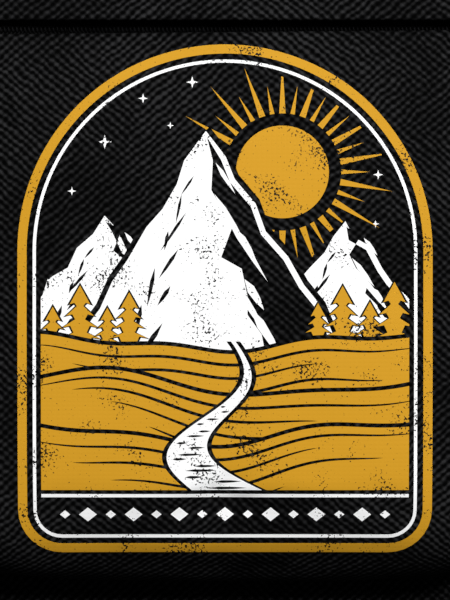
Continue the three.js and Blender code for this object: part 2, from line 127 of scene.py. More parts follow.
def cloth_place(tree, pitch, wanders=()):
    """The place on the cloth counted in threads, from the UV map in metres. wanders holds (reach, size)
    pairs in millimetres: how far the threads stray, and over what distance."""
    cloth = put(tree, "ShaderNodeUVMap", {"uv_map": LAYER})
    place = cloth
    for reach, size in wanders:
        drift = put(tree, "ShaderNodeTexNoise", {"noise_dimensions": "2D"},
                    {"Vector": cloth, "Scale": 1 / (size * MM), "Detail": 2.0}, "Color")
        drift = put(tree, "ShaderNodeVectorMath", {"operation": "SUBTRACT"}, {0: drift, 1: GREY_CENTRE})
        drift = put(tree, "ShaderNodeVectorMath", {"operation": "SCALE"}, {0: drift, "Scale": reach * MM})
        place = put(tree, "ShaderNodeVectorMath", {"operation": "ADD"}, {0: place, 1: drift})
    per_thread = (1 / (pitch[0] * MM), 1 / (pitch[1] * MM), 0)
    return put(tree, "ShaderNodeVectorMath", {"operation": "MULTIPLY"}, {0: place, 1: per_thread})


def bumps(tree, place):
    """A rounded bump in each cell of a unit grid, 0 at its rim and 1 in its middle."""
    part = put(tree, "ShaderNodeVectorMath", {"operation": "FRACTION"}, {0: place})
    part = put(tree, "ShaderNodeVectorMath", {"operation": "SUBTRACT"}, {0: part, 1: (0.5, 0.5, 0)})
    part = put(tree, "ShaderNodeVectorMath", {"operation": "SCALE"}, {0: part, "Scale": math.pi})
    part = put(tree, "ShaderNodeVectorMath", {"operation": "COSINE"}, {0: part})
    across, along = put(tree, "ShaderNodeSeparateXYZ", None, {0: part}).node.outputs[:2]
    return put(tree, "ShaderNodeMath", {"operation": "MULTIPLY"}, {0: across, 1: along})


def crossing_tone(tree, place, low, high):
    """A random tone for each crossing that lies on top: on the chequer these are the even cells."""
    across, along = put(tree, "ShaderNodeSeparateXYZ", None, {0: place}).node.outputs[:2]
    total = put(tree, "ShaderNodeMath", {"operation": "ADD"}, {0: across, 1: along})
    apart = put(tree, "ShaderNodeMath", {"operation": "SUBTRACT"}, {0: across, 1: along})
    cell = put(tree, "ShaderNodeCombineXYZ", None, {0: total, 1: apart})
    cell = put(tree, "ShaderNodeVectorMath", {"operation": "MULTIPLY_ADD"},
               {0: cell, 1: (0.5, 0.5, 0), 2: (0.5, 0.5, 0)})
    cell = put(tree, "ShaderNodeVectorMath", {"operation": "FLOOR"}, {0: cell})
    chance = put(tree, "ShaderNodeTexWhiteNoise", {"noise_dimensions": "2D"}, {"Vector": cell})
    return put(tree, "ShaderNodeMapRange", None, {0: chance, 1: 0.0, 2: 1.0, 3: low, 4: high})


# Woven cloth: how its threads stray, as (reach, size) in millimetres, the size of its skewed patches and of
# its patches of painted sheen in metres, and how much darker and lighter each makes it
THREADS_STRAY = ((0.8, 60.0), (2.0, 6.0))
SKEW_SIZE, SKEW_LEVELS = 0.05, (0.4, 0.56)
SHEEN_PATCH_SIZE, PAINTED_SHEEN_TONES = 0.042, (0.6, 1.35)
FRAYED_TONES, CROSSING_TONES = (0.6, 1.25), (0.74, 1.26)
THREAD_ROUNDNESS = 2.2  # the power that draws the painted highlight together on top of each thread
GAP_ROUGHNESS, THREAD_ROUGHNESS = 0.92, 0.72


def woven(name, pitch, thread, gap, relief=0.14, slant=0.38):
    """Plain weave: the threads on top make a chequer of soft bumps, and the colour paints light on them: a
    painted highlight on each bump's top and painted shade in the gaps. Where the weave has skewed, each bump
    runs into its neighbour along one diagonal, and the skew turns slowly over the cloth. The painted
    highlight is stronger or weaker in soft patches, as painted sheen where the filaments lie straighter or
    more slack."""
    material, tree = new_material(name)
    place = cloth_place(tree, pitch, THREADS_STRAY)
    turned = put(tree, "ShaderNodeVectorMath", {"operation": "SCALE"}, {0: place, "Scale": math.pi})
    products = []
    for operation in ("COSINE", "SINE"):
        wave = put(tree, "ShaderNodeVectorMath", {"operation": operation}, {0: turned})
        across, along = put(tree, "ShaderNodeSeparateXYZ", None, {0: wave}).node.outputs[:2]
        products.append(put(tree, "ShaderNodeMath", {"operation": "MULTIPLY"}, {0: across, 1: along}))
    cloth = put(tree, "ShaderNodeUVMap", {"uv_map": LAYER})
    skew = put(tree, "ShaderNodeTexNoise", {"noise_dimensions": "2D"},
               {"Vector": cloth, "Scale": 1 / SKEW_SIZE, "Detail": 1.0})
    skew = put(tree, "ShaderNodeMapRange", {"interpolation_type": "SMOOTHSTEP"},
               {0: skew, 1: SKEW_LEVELS[0], 2: SKEW_LEVELS[1], 3: -slant, 4: slant})
    height = put(tree, "ShaderNodeMath", {"operation": "MULTIPLY_ADD"},
                 {0: skew, 1: products[1], 2: products[0]})
    height = put(tree, "ShaderNodeMapRange", None, {0: height, 1: -1.0, 2: 1.0, 3: 0.0, 4: 1.0})
    fray = put(tree, "ShaderNodeTexNoise", {"noise_dimensions": "2D"},
               {"Vector": place, "Scale": 0.8, "Detail": 3.0, "Roughness": 0.7})
    fray = put(tree, "ShaderNodeMapRange", None, {0: fray, 1: NOISE_LOW, 2: NOISE_HIGH,
                                                  3: FRAYED_TONES[0], 4: FRAYED_TONES[1]})
    # Painted light: the colour runs from the gap colour, as painted shade between the threads, to the thread
    # colour, as a painted highlight on each thread's top.
    shade = put(tree, "ShaderNodeMath", {"operation": "POWER"}, {0: height, 1: THREAD_ROUNDNESS})
    shade = put(tree, "ShaderNodeMath", {"operation": "MULTIPLY"}, {0: shade, 1: fray})
    # Painted sheen: soft patches where the painted highlight is stronger or weaker, for filaments that catch
    # the light more or less.
    slack = put(tree, "ShaderNodeTexNoise", {"noise_dimensions": "2D"},
                {"Vector": cloth, "Scale": 1 / SHEEN_PATCH_SIZE, "Detail": 1.0, "Roughness": 0.4})
    slack = put(tree, "ShaderNodeMapRange", None, {0: slack, 1: NOISE_LOW, 2: NOISE_HIGH,
                                                   3: PAINTED_SHEEN_TONES[0], 4: PAINTED_SHEEN_TONES[1]})
    shade = put(tree, "ShaderNodeMath", {"operation": "MULTIPLY"}, {0: shade, 1: slack})
    tone = crossing_tone(tree, place, *CROSSING_TONES)
    shade = put(tree, "ShaderNodeMath", {"operation": "MULTIPLY"}, {0: shade, 1: tone})
    colour = put(tree, "ShaderNodeMixRGB", None, {"Fac": shade, "Color1": srgb(gap), "Color2": srgb(thread)})
    rough = put(tree, "ShaderNodeMapRange", None, {0: height, 1: 0.0, 2: 1.0,
                                                     3: GAP_ROUGHNESS, 4: THREAD_ROUGHNESS})
    bump = put(tree, "ShaderNodeBump", None, {"Strength": 1.0, "Distance": relief * MM, "Height": height})
    finish_surface(tree, {"Base Color": colour, "Roughness": rough, "Normal": bump,
                          "Specular IOR Level": 0.03})
    return material


def ribbed(name, pitch, thread, gap, relief=0.3):
    """Narrow tape: ribs across its length, each a row of tight over-and-under threads. The colour is painted
    light: the rib tops lighter as a painted highlight, the hollows darker as painted shade.
    """
    material, tree = new_material(name)
    place = cloth_place(tree, pitch)
    across, along = put(tree, "ShaderNodeSeparateXYZ", None, {0: place}).node.outputs[:2]
    row = put(tree, "ShaderNodeMath", {"operation": "FLOOR"}, {0: across})
    shift = put(tree, "ShaderNodeMath", {"operation": "MULTIPLY_ADD"}, {0: row, 1: 0.5, 2: along})
    stagger = put(tree, "ShaderNodeCombineXYZ", None, {0: across, 1: shift})
    height = bumps(tree, stagger)
    fuzz = put(tree, "ShaderNodeTexNoise", None, {"Vector": place, "Scale": 1.3, "Detail": 2.0})
    fuzz = put(tree, "ShaderNodeMapRange", None, {0: fuzz, 1: NOISE_LOW, 2: NOISE_HIGH, 3: 0.7, 4: 1.15})
    height = put(tree, "ShaderNodeMath", {"operation": "MULTIPLY"}, {0: height, 1: fuzz})
    # Painted light: lighter on the rib tops as a painted highlight, darker in the hollows as painted shade.
    colour = put(tree, "ShaderNodeMixRGB", None, {"Fac": height, "Color1": srgb(gap), "Color2": srgb(thread)})
    bump = put(tree, "ShaderNodeBump", None, {"Strength": 1.0, "Distance": relief * MM, "Height": height})
    finish_surface(tree, {"Base Color": colour, "Roughness": 0.65, "Normal": bump,
                          "Specular IOR Level": 0.05})
    return material


def knitted_spacer(name, pitch, yarn, hole_shade):
    """Open knitted mesh over foam: rounded holes in staggered rows, coloured dark as painted shade, with a
    soft matt yarn between.
    """
    material, tree = new_material(name)
    place = cloth_place(tree, pitch)
    across, along = put(tree, "ShaderNodeSeparateXYZ", None, {0: place}).node.outputs[:2]
    row = put(tree, "ShaderNodeMath", {"operation": "FLOOR"}, {0: along})
    shift = put(tree, "ShaderNodeMath", {"operation": "MULTIPLY_ADD"}, {0: row, 1: 0.5, 2: across})
    opening = bumps(tree, put(tree, "ShaderNodeCombineXYZ", None, {0: shift, 1: along}))
    yarn_height = put(tree, "ShaderNodeMapRange", {"interpolation_type": "SMOOTHSTEP"},
                      {0: opening, 1: 0.35, 2: 0.75, 3: 1.0, 4: 0.0})
    # The holes take painted shade, and the yarn between them keeps its own charcoal.
    colour = put(tree, "ShaderNodeMixRGB", None, {"Fac": yarn_height, "Color1": srgb(hole_shade),
                                                  "Color2": srgb(yarn)})
    bump = put(tree, "ShaderNodeBump", None, {"Strength": 1.0, "Distance": 0.5 * MM, "Height": yarn_height})
    finish_surface(tree, {"Base Color": colour, "Roughness": 0.85, "Normal": bump,
                          "Specular IOR Level": 0.06, "Sheen Weight": 0.02})
    return material


CLOUDS_PER_METRE = 120.0
WORN_SHARE, WORN_LIFT = 1.8, 0.004  # how much lighter the worn patches are
SMOOTHER, ROUGHER = 0.08, 0.1


def hard_finish(name, colour, roughness, grain, relief, metallic=0.0, coat=0.0, specular=0.5):
    """Moulded plastic or lacquered metal: an even colour, a fine grain and slightly worn patches, lighter in
    soft clouds.
    """
    material, tree = new_material(name)
    place = put(tree, "ShaderNodeTexCoord", output="Object")
    speck = put(tree, "ShaderNodeTexNoise", None, {"Vector": place, "Scale": 1 / (grain * MM), "Detail": 3.0})
    cloud = put(tree, "ShaderNodeTexNoise", None, {"Vector": place, "Scale": CLOUDS_PER_METRE, "Detail": 2.0})
    worn = put(tree, "ShaderNodeMapRange", None, {0: cloud, 1: NOISE_LOW, 2: NOISE_HIGH, 3: 0.0, 4: 1.0})
    lighter = [min(1.0, c * WORN_SHARE + WORN_LIFT) for c in srgb(colour)[:3]] + [1.0]
    tint = put(tree, "ShaderNodeMixRGB", None, {"Fac": worn, "Color1": srgb(colour), "Color2": lighter})
    rough = put(tree, "ShaderNodeMapRange", None, {0: speck, 1: NOISE_LOW, 2: NOISE_HIGH,
                                                   3: roughness - SMOOTHER, 4: roughness + ROUGHER})
    bump = put(tree, "ShaderNodeBump", None, {"Strength": 0.6, "Distance": relief * MM, "Height": speck})
    finish_surface(tree, {"Base Color": tint, "Roughness": rough, "Metallic": metallic, "Normal": bump,
                          "Coat Weight": coat, "Specular IOR Level": specular})
    return material


# Ink wears off in specks, about 1 mm across, which cluster in patches of about 16 mm. Both are given as
# so many to the metre. Where specks and patches add up past the levels, the cloth shows.
SPECKS_PER_METRE, PATCHES_PER_METRE = 950.0, 62.0
PATCH_LEVELS, PATCH_HELP = (0.48, 0.72), 0.2
WORN_LEVELS = (0.735, 0.755)
BARE_CLOTH = "#141414"


def screen_ink(name, colour):
    """Opaque ink on the weave: flat and matt, worn off in clusters of specks where the cloth shows."""
    material, tree = new_material(name)
    place = put(tree, "ShaderNodeUVMap", {"uv_map": LAYER})
    patches = put(tree, "ShaderNodeTexNoise", {"noise_dimensions": "2D"},
                  {"Vector": place, "Scale": PATCHES_PER_METRE, "Detail": 2.0})
    specks = put(tree, "ShaderNodeTexNoise", {"noise_dimensions": "2D"},
                 {"Vector": place, "Scale": SPECKS_PER_METRE, "Detail": 2.0, "Roughness": 0.65})
    reach = put(tree, "ShaderNodeMapRange", None, {0: patches, 1: PATCH_LEVELS[0], 2: PATCH_LEVELS[1],
                                                   3: 0.0, 4: PATCH_HELP})
    worn = put(tree, "ShaderNodeMath", {"operation": "ADD"}, {0: specks, 1: reach})
    bare = put(tree, "ShaderNodeMapRange", {"interpolation_type": "SMOOTHSTEP"},
               {0: worn, 1: WORN_LEVELS[0], 2: WORN_LEVELS[1], 3: 0.0, 4: 1.0})
    threads = bumps(tree, cloth_place(tree, WEAVE_PITCH))
    tint = put(tree, "ShaderNodeMixRGB", None, {"Fac": bare, "Color1": srgb(colour),
                                                "Color2": srgb(BARE_CLOTH)})
    bump = put(tree, "ShaderNodeBump", None, {"Strength": 0.25, "Distance": 0.08 * MM, "Height": threads})
    finish_surface(tree, {"Base Color": tint, "Roughness": 0.55, "Normal": bump,
                          "Specular IOR Level": 0.05})
    return material


# Textured polyester yarn in plain weave: black and matt. Its fine grey chequer of thread tops, which runs
# into diagonals, is painted highlight, with painted shade in the gaps between them. The pitch across and up
# is as coarse as the photograph's cloth: each crossing stands for a basket of finer threads, too fine to
# show.
WEAVE_PITCH = (1.87, 1.59)
POLYESTER = woven("black_polyester_plain_weave", WEAVE_PITCH, "#2c2c2d", "#010101")
# Filament taffeta on the base: a tighter, flatter and slightly greyer weave, drawn coarser than real
LINING_WEAVE = woven("black_polyester_taffeta", (0.9, 0.8), "#232324", "#050505", relief=0.1)
# Polypropylene webbing, woven thick: low ribs with a dull waxy light. Its real ribs are finer.
WEBBING = ribbed("black_polypropylene_webbing", (2.1, 1.5), "#1c1c1d", "#030303")
# Polyester grosgrain over the seams: fine cross ribs that look like a soft edge line
BINDING = ribbed("black_polyester_grosgrain", (1.2, 0.9), "#1e1e1f", "#030303", relief=0.15)
# Twill zip tape: the full slant turns its weave into diagonal lines. It is darker than the cloth beside it:
# black, and darker still as painted shade for the pocket's groove, where it lies
TAPE = woven("black_zip_tape_twill", (0.8, 0.7), "#121213", "#020202", relief=0.08, slant=1.0)
# Monofilament nylon, coiled and dyed black, and darker still as painted shade for the pocket's groove, with a
# dull glint on each turn
COIL = hard_finish("black_nylon_coil", "#050506", roughness=0.6, grain=0.4, relief=0.02, specular=0.08)
# Bonded polyester sewing thread: a shade lighter than the cloth, so that each stitch reads as a dash
THREAD = hard_finish("black_bonded_sewing_thread", "#202021", roughness=0.55, grain=0.15, relief=0.03,
                     specular=0.25)
# Knitted polyester spacer mesh: charcoal and soft, with staggered holes, where the back and straps touch. The
# holes are dark as painted shade.
SPACER = knitted_spacer("black_knitted_spacer_mesh", (3.2, 2.6), "#242425", "#040404")
# Acetal, injection moulded in a spark-eroded mould: satin black with a fine even grain
ACETAL = hard_finish("black_moulded_acetal", "#121213", roughness=0.42, grain=0.35, relief=0.03)
# Die-cast zinc under black lacquer: satin, with soft highlights on its eased edges. The lacquer hides
# the metal, so that it hardly shines as one.
LACQUERED_ZINC = hard_finish("black_lacquered_die_cast_zinc", "#0c0c0d", roughness=0.42, grain=0.5,
                             relief=0.01, metallic=0.15, coat=0.1, specular=0.35)
# Plastisol screen inks, pressed opaque over the weave: flat, matt colour with small worn specks
WHITE_INK = screen_ink("white_screen_ink", "#ffffff")
OCHRE_INK = screen_ink("ochre_screen_ink", "#ce9725")


# Meshes

sewn = []  # what is sewn together on the bag, and so slumps together


def piece(name, points, faces, uv, material):
    """A smooth mesh on the bag from points in millimetres, with cloth UVs in millimetres too."""
    mesh = bpy.data.meshes.new(name)
    mesh.from_pydata((np.asarray(points, float) * MM).tolist(), [], [list(f) for f in faces])
    layer = mesh.uv_layers.new(name=LAYER)
    layer.data.foreach_set("uv", (np.asarray(uv, float) * MM).ravel())
    mesh.materials.append(material)
    mesh.polygons.foreach_set("use_smooth", [True] * len(mesh.polygons))
    mesh.update()
    return add_piece(name, mesh, "bag")


def add_piece(name, mesh, body):
    result = bpy.data.objects.new(name, mesh)
    bpy.context.scene.collection.objects.link(result)
    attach(result, body)
    if body == "bag":
        sewn.append(result)
    return result


def face_outwards(result):
    edit = bmesh.new()
    edit.from_mesh(result.data)
    bmesh.ops.recalc_face_normals(edit, faces=edit.faces)
    edit.to_mesh(result.data)
    edit.free()


def settle(result):
    """Applies the modifiers of a piece."""
    graph = bpy.context.evaluated_depsgraph_get()
    graph.update()
    mesh = bpy.data.meshes.new_from_object(result.evaluated_get(graph), depsgraph=graph)
    old = result.data
    result.modifiers.clear()
    result.data = mesh
    bpy.data.meshes.remove(old)


def points_of(result):
    """A piece's points in millimetres."""
    co = np.empty(len(result.data.vertices) * 3)
    result.data.vertices.foreach_get("co", co)
    return co.reshape(-1, 3) / MM


def normals_of(result):
    normals = np.empty(len(result.data.vertices) * 3)
    result.data.vertices.foreach_get("normal", normals)
    return normals.reshape(-1, 3)


def move_points(result, points):
    result.data.vertices.foreach_set("co", (np.asarray(points) * MM).ravel())
    result.data.update()


def subdivide(result, levels=1):
    modifier = result.modifiers.new("smooth", "SUBSURF")
    modifier.levels = modifier.render_levels = levels
    settle(result)


# Coated polyester as the cloth simulation takes it: its mass, and how it resists stretch, shear and bend
CLOTH_QUALITY, CLOTH_MASS, CLOTH_STRETCH, CLOTH_SHEAR, CLOTH_BEND = 6, 0.25, 40, 20, 2
PUFF_FRAMES = 20


def puff(result, pinned, pressure, cap):
    """Stuffs a closed cloth form: the cloth swells under pressure between its pinned seams, and no point
    moves further than cap."""
    rest = points_of(result)
    group = result.vertex_groups.new(name="pinned")
    group.add([int(i) for i in pinned], 1.0, "REPLACE")
    settings = result.modifiers.new("cloth", "CLOTH").settings
    settings.quality = CLOTH_QUALITY
    settings.mass = CLOTH_MASS
    settings.tension_stiffness = settings.compression_stiffness = CLOTH_STRETCH
    settings.shear_stiffness = CLOTH_SHEAR
    settings.bending_stiffness = CLOTH_BEND
    settings.use_pressure = True
    settings.uniform_pressure_force = pressure
    settings.vertex_group_mass = "pinned"
    settings.effector_weights.gravity = 0
    scene = bpy.context.scene
    for number in range(1, PUFF_FRAMES + 1):
        scene.frame_set(number)
    graph = bpy.context.evaluated_depsgraph_get()
    swollen = result.evaluated_get(graph).to_mesh()
    co = np.empty(len(swollen.vertices) * 3)
    swollen.vertices.foreach_get("co", co)
    result.evaluated_get(graph).to_mesh_clear()
    result.modifiers.clear()
    scene.frame_set(1)
    step = co.reshape(-1, 3) / MM - rest
    far = np.linalg.norm(step, axis=1, keepdims=True)
    move_points(result, rest + step * np.minimum(1, cap / np.maximum(far, 1e-9)))


# Lines and sections

def closed(line):
    return np.vstack([line, line[:1]])


def lengths_along(line):
    """How far along a line each of its points lies."""
    return np.concatenate([[0], np.cumsum(np.linalg.norm(np.diff(line, axis=0), axis=1))])


def at_lengths(values, lengths, at):
    """Values given along a line, read off at other lengths."""
    return np.stack([np.interp(at, lengths, values[:, i]) for i in range(values.shape[1])], -1)


def resample(points, step):
    """Points every step along a line."""
    points = np.asarray(points, float)
    lengths = lengths_along(points)
    at = np.linspace(0, lengths[-1], max(2, int(round(lengths[-1] / step)) + 1))
    return at_lengths(points, lengths, at)


def spline(points, samples):
    """A smooth centripetal curve through points."""
    p = np.asarray(points, float)
    p = np.vstack([2 * p[0] - p[1], p, 2 * p[-1] - p[-2]])
    result = []
    for i in range(1, len(p) - 2):
        a, b, c, d = p[i - 1:i + 3]
        t0 = 0.0
        t1 = t0 + np.linalg.norm(b - a) ** 0.5
        t2 = t1 + np.linalg.norm(c - b) ** 0.5
        t3 = t2 + np.linalg.norm(d - c) ** 0.5
        for t in np.linspace(t1, t2, samples, endpoint=False):
            ab = (t1 - t) / (t1 - t0) * a + (t - t0) / (t1 - t0) * b
            bc = (t2 - t) / (t2 - t1) * b + (t - t1) / (t2 - t1) * c
            cd = (t3 - t) / (t3 - t2) * c + (t - t2) / (t3 - t2) * d
            abc = (t2 - t) / (t2 - t0) * ab + (t - t0) / (t2 - t0) * bc
            bcd = (t3 - t) / (t3 - t1) * bc + (t - t1) / (t3 - t1) * cd
            result.append((t2 - t) / (t2 - t1) * abc + (t - t1) / (t2 - t1) * bcd)
    result.append(p[-2])
    return np.array(result)


def unit(v):
    return v / np.maximum(np.linalg.norm(v, axis=-1, keepdims=True), 1e-12)


def tangents(line, loop=False):
    if loop:
        return unit(np.roll(line, -1, 0) - np.roll(line, 1, 0))
    return unit(np.gradient(line, axis=0))


def sweep_framed(name, line, across, out, sections, material, loop=False):
    """A band or tube: a closed section, in (across, out) pairs, carried along a line that has its own
    directions at each point. sections holds one section, or one for each point of the line."""
    sections = np.broadcast_to(np.asarray(sections, float), (len(line),) + np.shape(sections)[-2:])
    points = line[:, None] + across[:, None] * sections[..., :1] + out[:, None] * sections[..., 1:]
    rows, columns = points.shape[:2]
    far, around = lengths_along(closed(line)), lengths_along(closed(sections[0]))
    faces, uv = [], []
    for r in range(rows if loop else rows - 1):
        n = (r + 1) % rows
        for c in range(columns):
            k = (c + 1) % columns
            faces.append((r * columns + c, r * columns + k, n * columns + k, n * columns + c))
            uv += [(around[c], far[r]), (around[c + 1], far[r]),
                   (around[c + 1], far[r + 1]), (around[c], far[r + 1])]
    if not loop:
        for r, turn in ((0, 1), (rows - 1, -1)):
            rim = [r * columns + c for c in range(columns)][::turn]
            faces.append(rim)
            uv += [tuple(sections[r][i % columns]) for i in rim]
    result = piece(name, points.reshape(-1, 3), faces, uv, material)
    face_outwards(result)
    return result


def sweep(name, line, across, section, material, loop=False):
    """A sweep whose band lies along across, as near as the line lets it."""
    line = np.asarray(line, float)
    along = tangents(line, loop)
    out = unit(np.cross(np.broadcast_to(np.asarray(across, float), line.shape), along))
    return sweep_framed(name, line, unit(np.cross(along, out)), out, section, material, loop)


def round_section(radius, sides=10):
    angles = np.arange(sides) * 2 * math.pi / sides
    return np.stack([radius * np.cos(angles), radius * np.sin(angles)], 1)


def flat_section(width, thickness, corner=0.35, sides=3):
    """A flat band's section with rounded edges."""
    w, h = width / 2, thickness / 2
    r = min(w, h) * corner * 2
    points = []
    for cx, cy, start in ((w - r, h - r, 0), (r - w, h - r, 90), (r - w, r - h, 180), (w - r, r - h, 270)):
        for i in range(sides + 1):
            angle = math.radians(start + 90 * i / sides)
            points.append((cx + r * math.cos(angle), cy + r * math.sin(angle)))
    return np.array(points)


def lattice(name, outer, inner, uv, material):
    """A sheet with thickness from two faces given as grids of points."""
    rows, columns = outer.shape[:2]
    count = rows * columns
    index = np.arange(count).reshape(rows, columns)
    flat_uv = uv.reshape(-1, 2)
    faces = []
    for r in range(rows - 1):
        for c in range(columns - 1):
            a, b, d, e = index[r, c], index[r, c + 1], index[r + 1, c + 1], index[r + 1, c]
            faces += [(a, b, d, e), (e + count, d + count, b + count, a + count)]
    rim = list(index[0]) + list(index[1:, -1]) + list(index[-1, -2::-1]) + list(index[-2:0:-1, 0])
    for a, b in zip(rim, rim[1:] + rim[:1]):
        faces.append((b, a, a + count, b + count))
    corners = [flat_uv[i % count] for face in faces for i in face]
    points = np.vstack([outer.reshape(-1, 3), inner.reshape(-1, 3)])
    result = piece(name, points, faces, corners, material)
    face_outwards(result)
    return result


class Surface:
    """A piece's outer face, to lay other pieces on."""

    def __init__(self, result):
        points = [tuple(p) for p in points_of(result)]
        self.tree = BVHTree.FromPolygons(points, [list(p.vertices) for p in result.data.polygons])

    def hit(self, start, direction, lift):
        place, normal, _, _ = self.tree.ray_cast(Vector(start), Vector(direction))
        if place is None:
            place, normal, _, _ = self.tree.find_nearest(Vector(start))
        if normal.dot(Vector(direction)) > 0:
            normal.negate()
        return np.array(place) + np.array(normal) * lift, np.array(normal)

    def lay(self, starts, direction, lift=0.0):
        """Where rays from starts meet the surface, raised by lift, and the surface's normals there."""
        directions = np.broadcast_to(np.asarray(direction, float), np.shape(starts))
        found = [self.hit(s, d, lift) for s, d in zip(starts, directions)]
        return np.array([f[0] for f in found]), np.array([f[1] for f in found])


def facing(plan, y):
    """Points (x, z) of a plan as places at depth y."""
    plan = np.asarray(plan, float)
    return np.column_stack([plan[:, 0], np.broadcast_to(np.asarray(y, float), (len(plan),)), plan[:, 1]])


# Stuffed forms

FINE_COUNTS = (72, 60, 40, 16, 48)


def outline(panel, inset, counts, bottom_inset=None):
    """Points (x, z) round a panel, counter-clockwise from the middle of its lower left corner.
    counts are the steps of the bottom, a side, the top, a low corner and a high corner."""
    low_inset = inset if bottom_inset is None else bottom_inset
    bottom, side, top, low_arc, high_arc = counts
    half, low, high = panel["width"] / 2, panel["low_radius"], panel["high_radius"]
    z_low, z_high = panel["bottom"] + low, panel["top"] - high

    def arc(x, z, radius, lift, start, end, steps):
        angles = np.radians(np.linspace(start, end, steps + 1))
        return np.stack([x + (radius - inset) * np.cos(angles), z + (radius - lift) * np.sin(angles)], 1)

    arcs = [
        (arc(low - half, z_low, low, low_inset, 225, 270, low_arc // 2), bottom),
        (arc(half - low, z_low, low, low_inset, 270, 360, low_arc), side),
        (arc(half - high, z_high, high, inset, 0, 90, high_arc), top),
        (arc(high - half, z_high, high, inset, 90, 180, high_arc), side),
        (arc(low - half, z_low, low, low_inset, 180, 225, low_arc // 2), 0),
    ]
    points = []
    for i, (curve, steps) in enumerate(arcs):
        points.append(curve if steps else curve[:-1])
        if steps:
            following = arcs[i + 1][0][0]
            share = (np.arange(1, steps) / steps)[:, None]
            points.append(curve[-1] * (1 - share) + following * share)
    points = np.vstack(points)
    points[:, 0] *= 1 - panel["taper"] * (points[:, 1] - panel["bottom"]) / (panel["top"] - panel["bottom"])
    return points


def crown_at(panel, inset, points, rise):
    """How far a face stands out, most in its middle and nothing at its rim."""
    middle = (panel["bottom"] + panel["top"]) / 2
    half_x = panel["width"] / 2 - inset
    half_z = (panel["top"] - panel["bottom"]) / 2 - inset
    share = (np.abs(points[..., 0] / half_x) ** 4 + np.abs((points[..., 1] - middle) / half_z) ** 4) ** 0.5
    return rise * np.clip(1 - share, 0, 1)


BLEND_RINGS = 5  # rings between a face's square patch and its rounded rim


def stuffed(name, panel, counts, patch, face, walls, back, material, creased=()):
    """A closed form skinned from a middle patch, out over its face, round its walls and over its back.
    face and back are (y, inset, crown). walls holds (inset, y, spread) rings: spread is how far the cloth
    runs on from the face's rim, or None where another panel of cloth starts.
    creased lists the rings that stay sharp seams. Gives the object and the rings' point numbers."""
    columns, rows = counts[0] + counts[3], counts[1] + counts[3] // 2 + counts[4] // 2
    x_low, x_high, z_low, z_high = patch
    gx, gz = np.meshgrid(np.linspace(x_low, x_high, columns + 1), np.linspace(z_low, z_high, rows + 1))
    grid = np.stack([gx, gz], -1)
    index = np.arange(grid.shape[0] * grid.shape[1]).reshape(grid.shape[:2])
    rim = np.concatenate([index[0, :-1], index[:-1, -1], index[-1, :0:-1], index[:0:-1, 0]])
    points, faces, uv = [], [], []

    def add_face_side(y, inset, crown, flip):
        """The patch and the rings out to its rim. Gives the outermost ring's numbers."""
        flat = grid.reshape(-1, 2)
        start = len(points)
        edge = outline(panel, inset, counts)
        place = [flat]
        for k in range(1, BLEND_RINGS + 1):
            place.append(flat[rim] * (1 - k / BLEND_RINGS) + edge * k / BLEND_RINGS)
        flat = np.vstack(place)
        points.extend(facing(flat, y + (1 if flip else -1) * crown_at(panel, inset, flat, crown)))
        local = []
        for r in range(rows):
            for c in range(columns):
                local.append((index[r, c], index[r, c + 1], index[r + 1, c + 1], index[r + 1, c]))
        inner = rim
        for k in range(BLEND_RINGS):
            outer = len(place[0]) + k * len(rim) + np.arange(len(rim))
            for i in range(len(rim)):
                j = (i + 1) % len(rim)
                local.append((inner[i], outer[i], outer[j], inner[j]))
            inner = outer
        for quad in local:
            quad = [int(i) for i in (quad[::-1] if flip else quad)]
            faces.append([start + i for i in quad])
            uv.extend(flat[i] for i in quad)
        return inner + start

    rings = [add_face_side(*face, False)]
    around = lengths_along(closed(outline(panel, 0.0, counts)))
    pattern, depths, spreads = [outline(panel, face[1], counts)], [face[0]], [0.0]
    for inset, y, spread in walls:
        flat = outline(panel, inset, counts, max(inset, 0.0))
        rings.append(len(points) + np.arange(len(flat)))
        points.extend(facing(flat, y))
        pattern.append(outline(panel, face[1] - (spread or 0.0), counts))
        depths.append(y)
        spreads.append(spread)
    rings.append(add_face_side(*back, True))
    pattern.append(pattern[-1])
    depths.append(back[0])
    spreads.append(None)
    count = len(rings[0])
    for k in range(len(rings) - 1):
        for i in range(count):
            j = (i + 1) % count
            faces.append([int(rings[k][i]), int(rings[k + 1][i]), int(rings[k + 1][j]), int(rings[k][j])])
            if spreads[k + 1] is not None:
                uv += [pattern[k][i], pattern[k + 1][i], pattern[k + 1][j], pattern[k][j]]
            else:
                uv += [(around[i], depths[k]), (around[i], depths[k + 1]),
                       (around[i + 1], depths[k + 1]), (around[i + 1], depths[k])]
    result = piece(name, points, faces, uv, material)
    face_outwards(result)
    for ring in creased:
        crease(result, rings[ring])
    return result, rings


def crease(result, ring):
    """Keeps the seam along a ring of points sharp when the piece is subdivided."""
    attributes = result.data.attributes
    layer = attributes.get("crease_edge") or attributes.new("crease_edge", "FLOAT", "EDGE")
    pairs = {frozenset(pair) for pair in zip(map(int, ring), map(int, np.roll(ring, -1)))}
    for edge in result.data.edges:
        if frozenset(edge.vertices) in pairs:
            layer.data[edge.index].value = 1.0


def soft_noise(points, size, seed=0.0):
    """Smooth noise from -1 to 1 over points, with lumps about size across."""
    return np.array([noise.noise(Vector(p) / size + Vector((seed, seed * 0.7, seed * 1.3))) for p in points])


def lumps(points, layers):
    """Soft noise in layers of a depth, a size and a seed."""
    return sum(depth * soft_noise(points, size, seed) for depth, size, seed in layers)


def ramp(values, start, reach):
    """0 up to start, and then up to 1 over reach."""
    return np.clip((values - start) / reach, 0, 1)


PUCKER_DRIFT, PUCKER_SIZE, PUCKER_SEED = 2.5, 34.0, 5.0  # the gathers' spacing drifts
ROUND_CENTRE_Z, ROUND_RADIUS = 200.0, 200.0


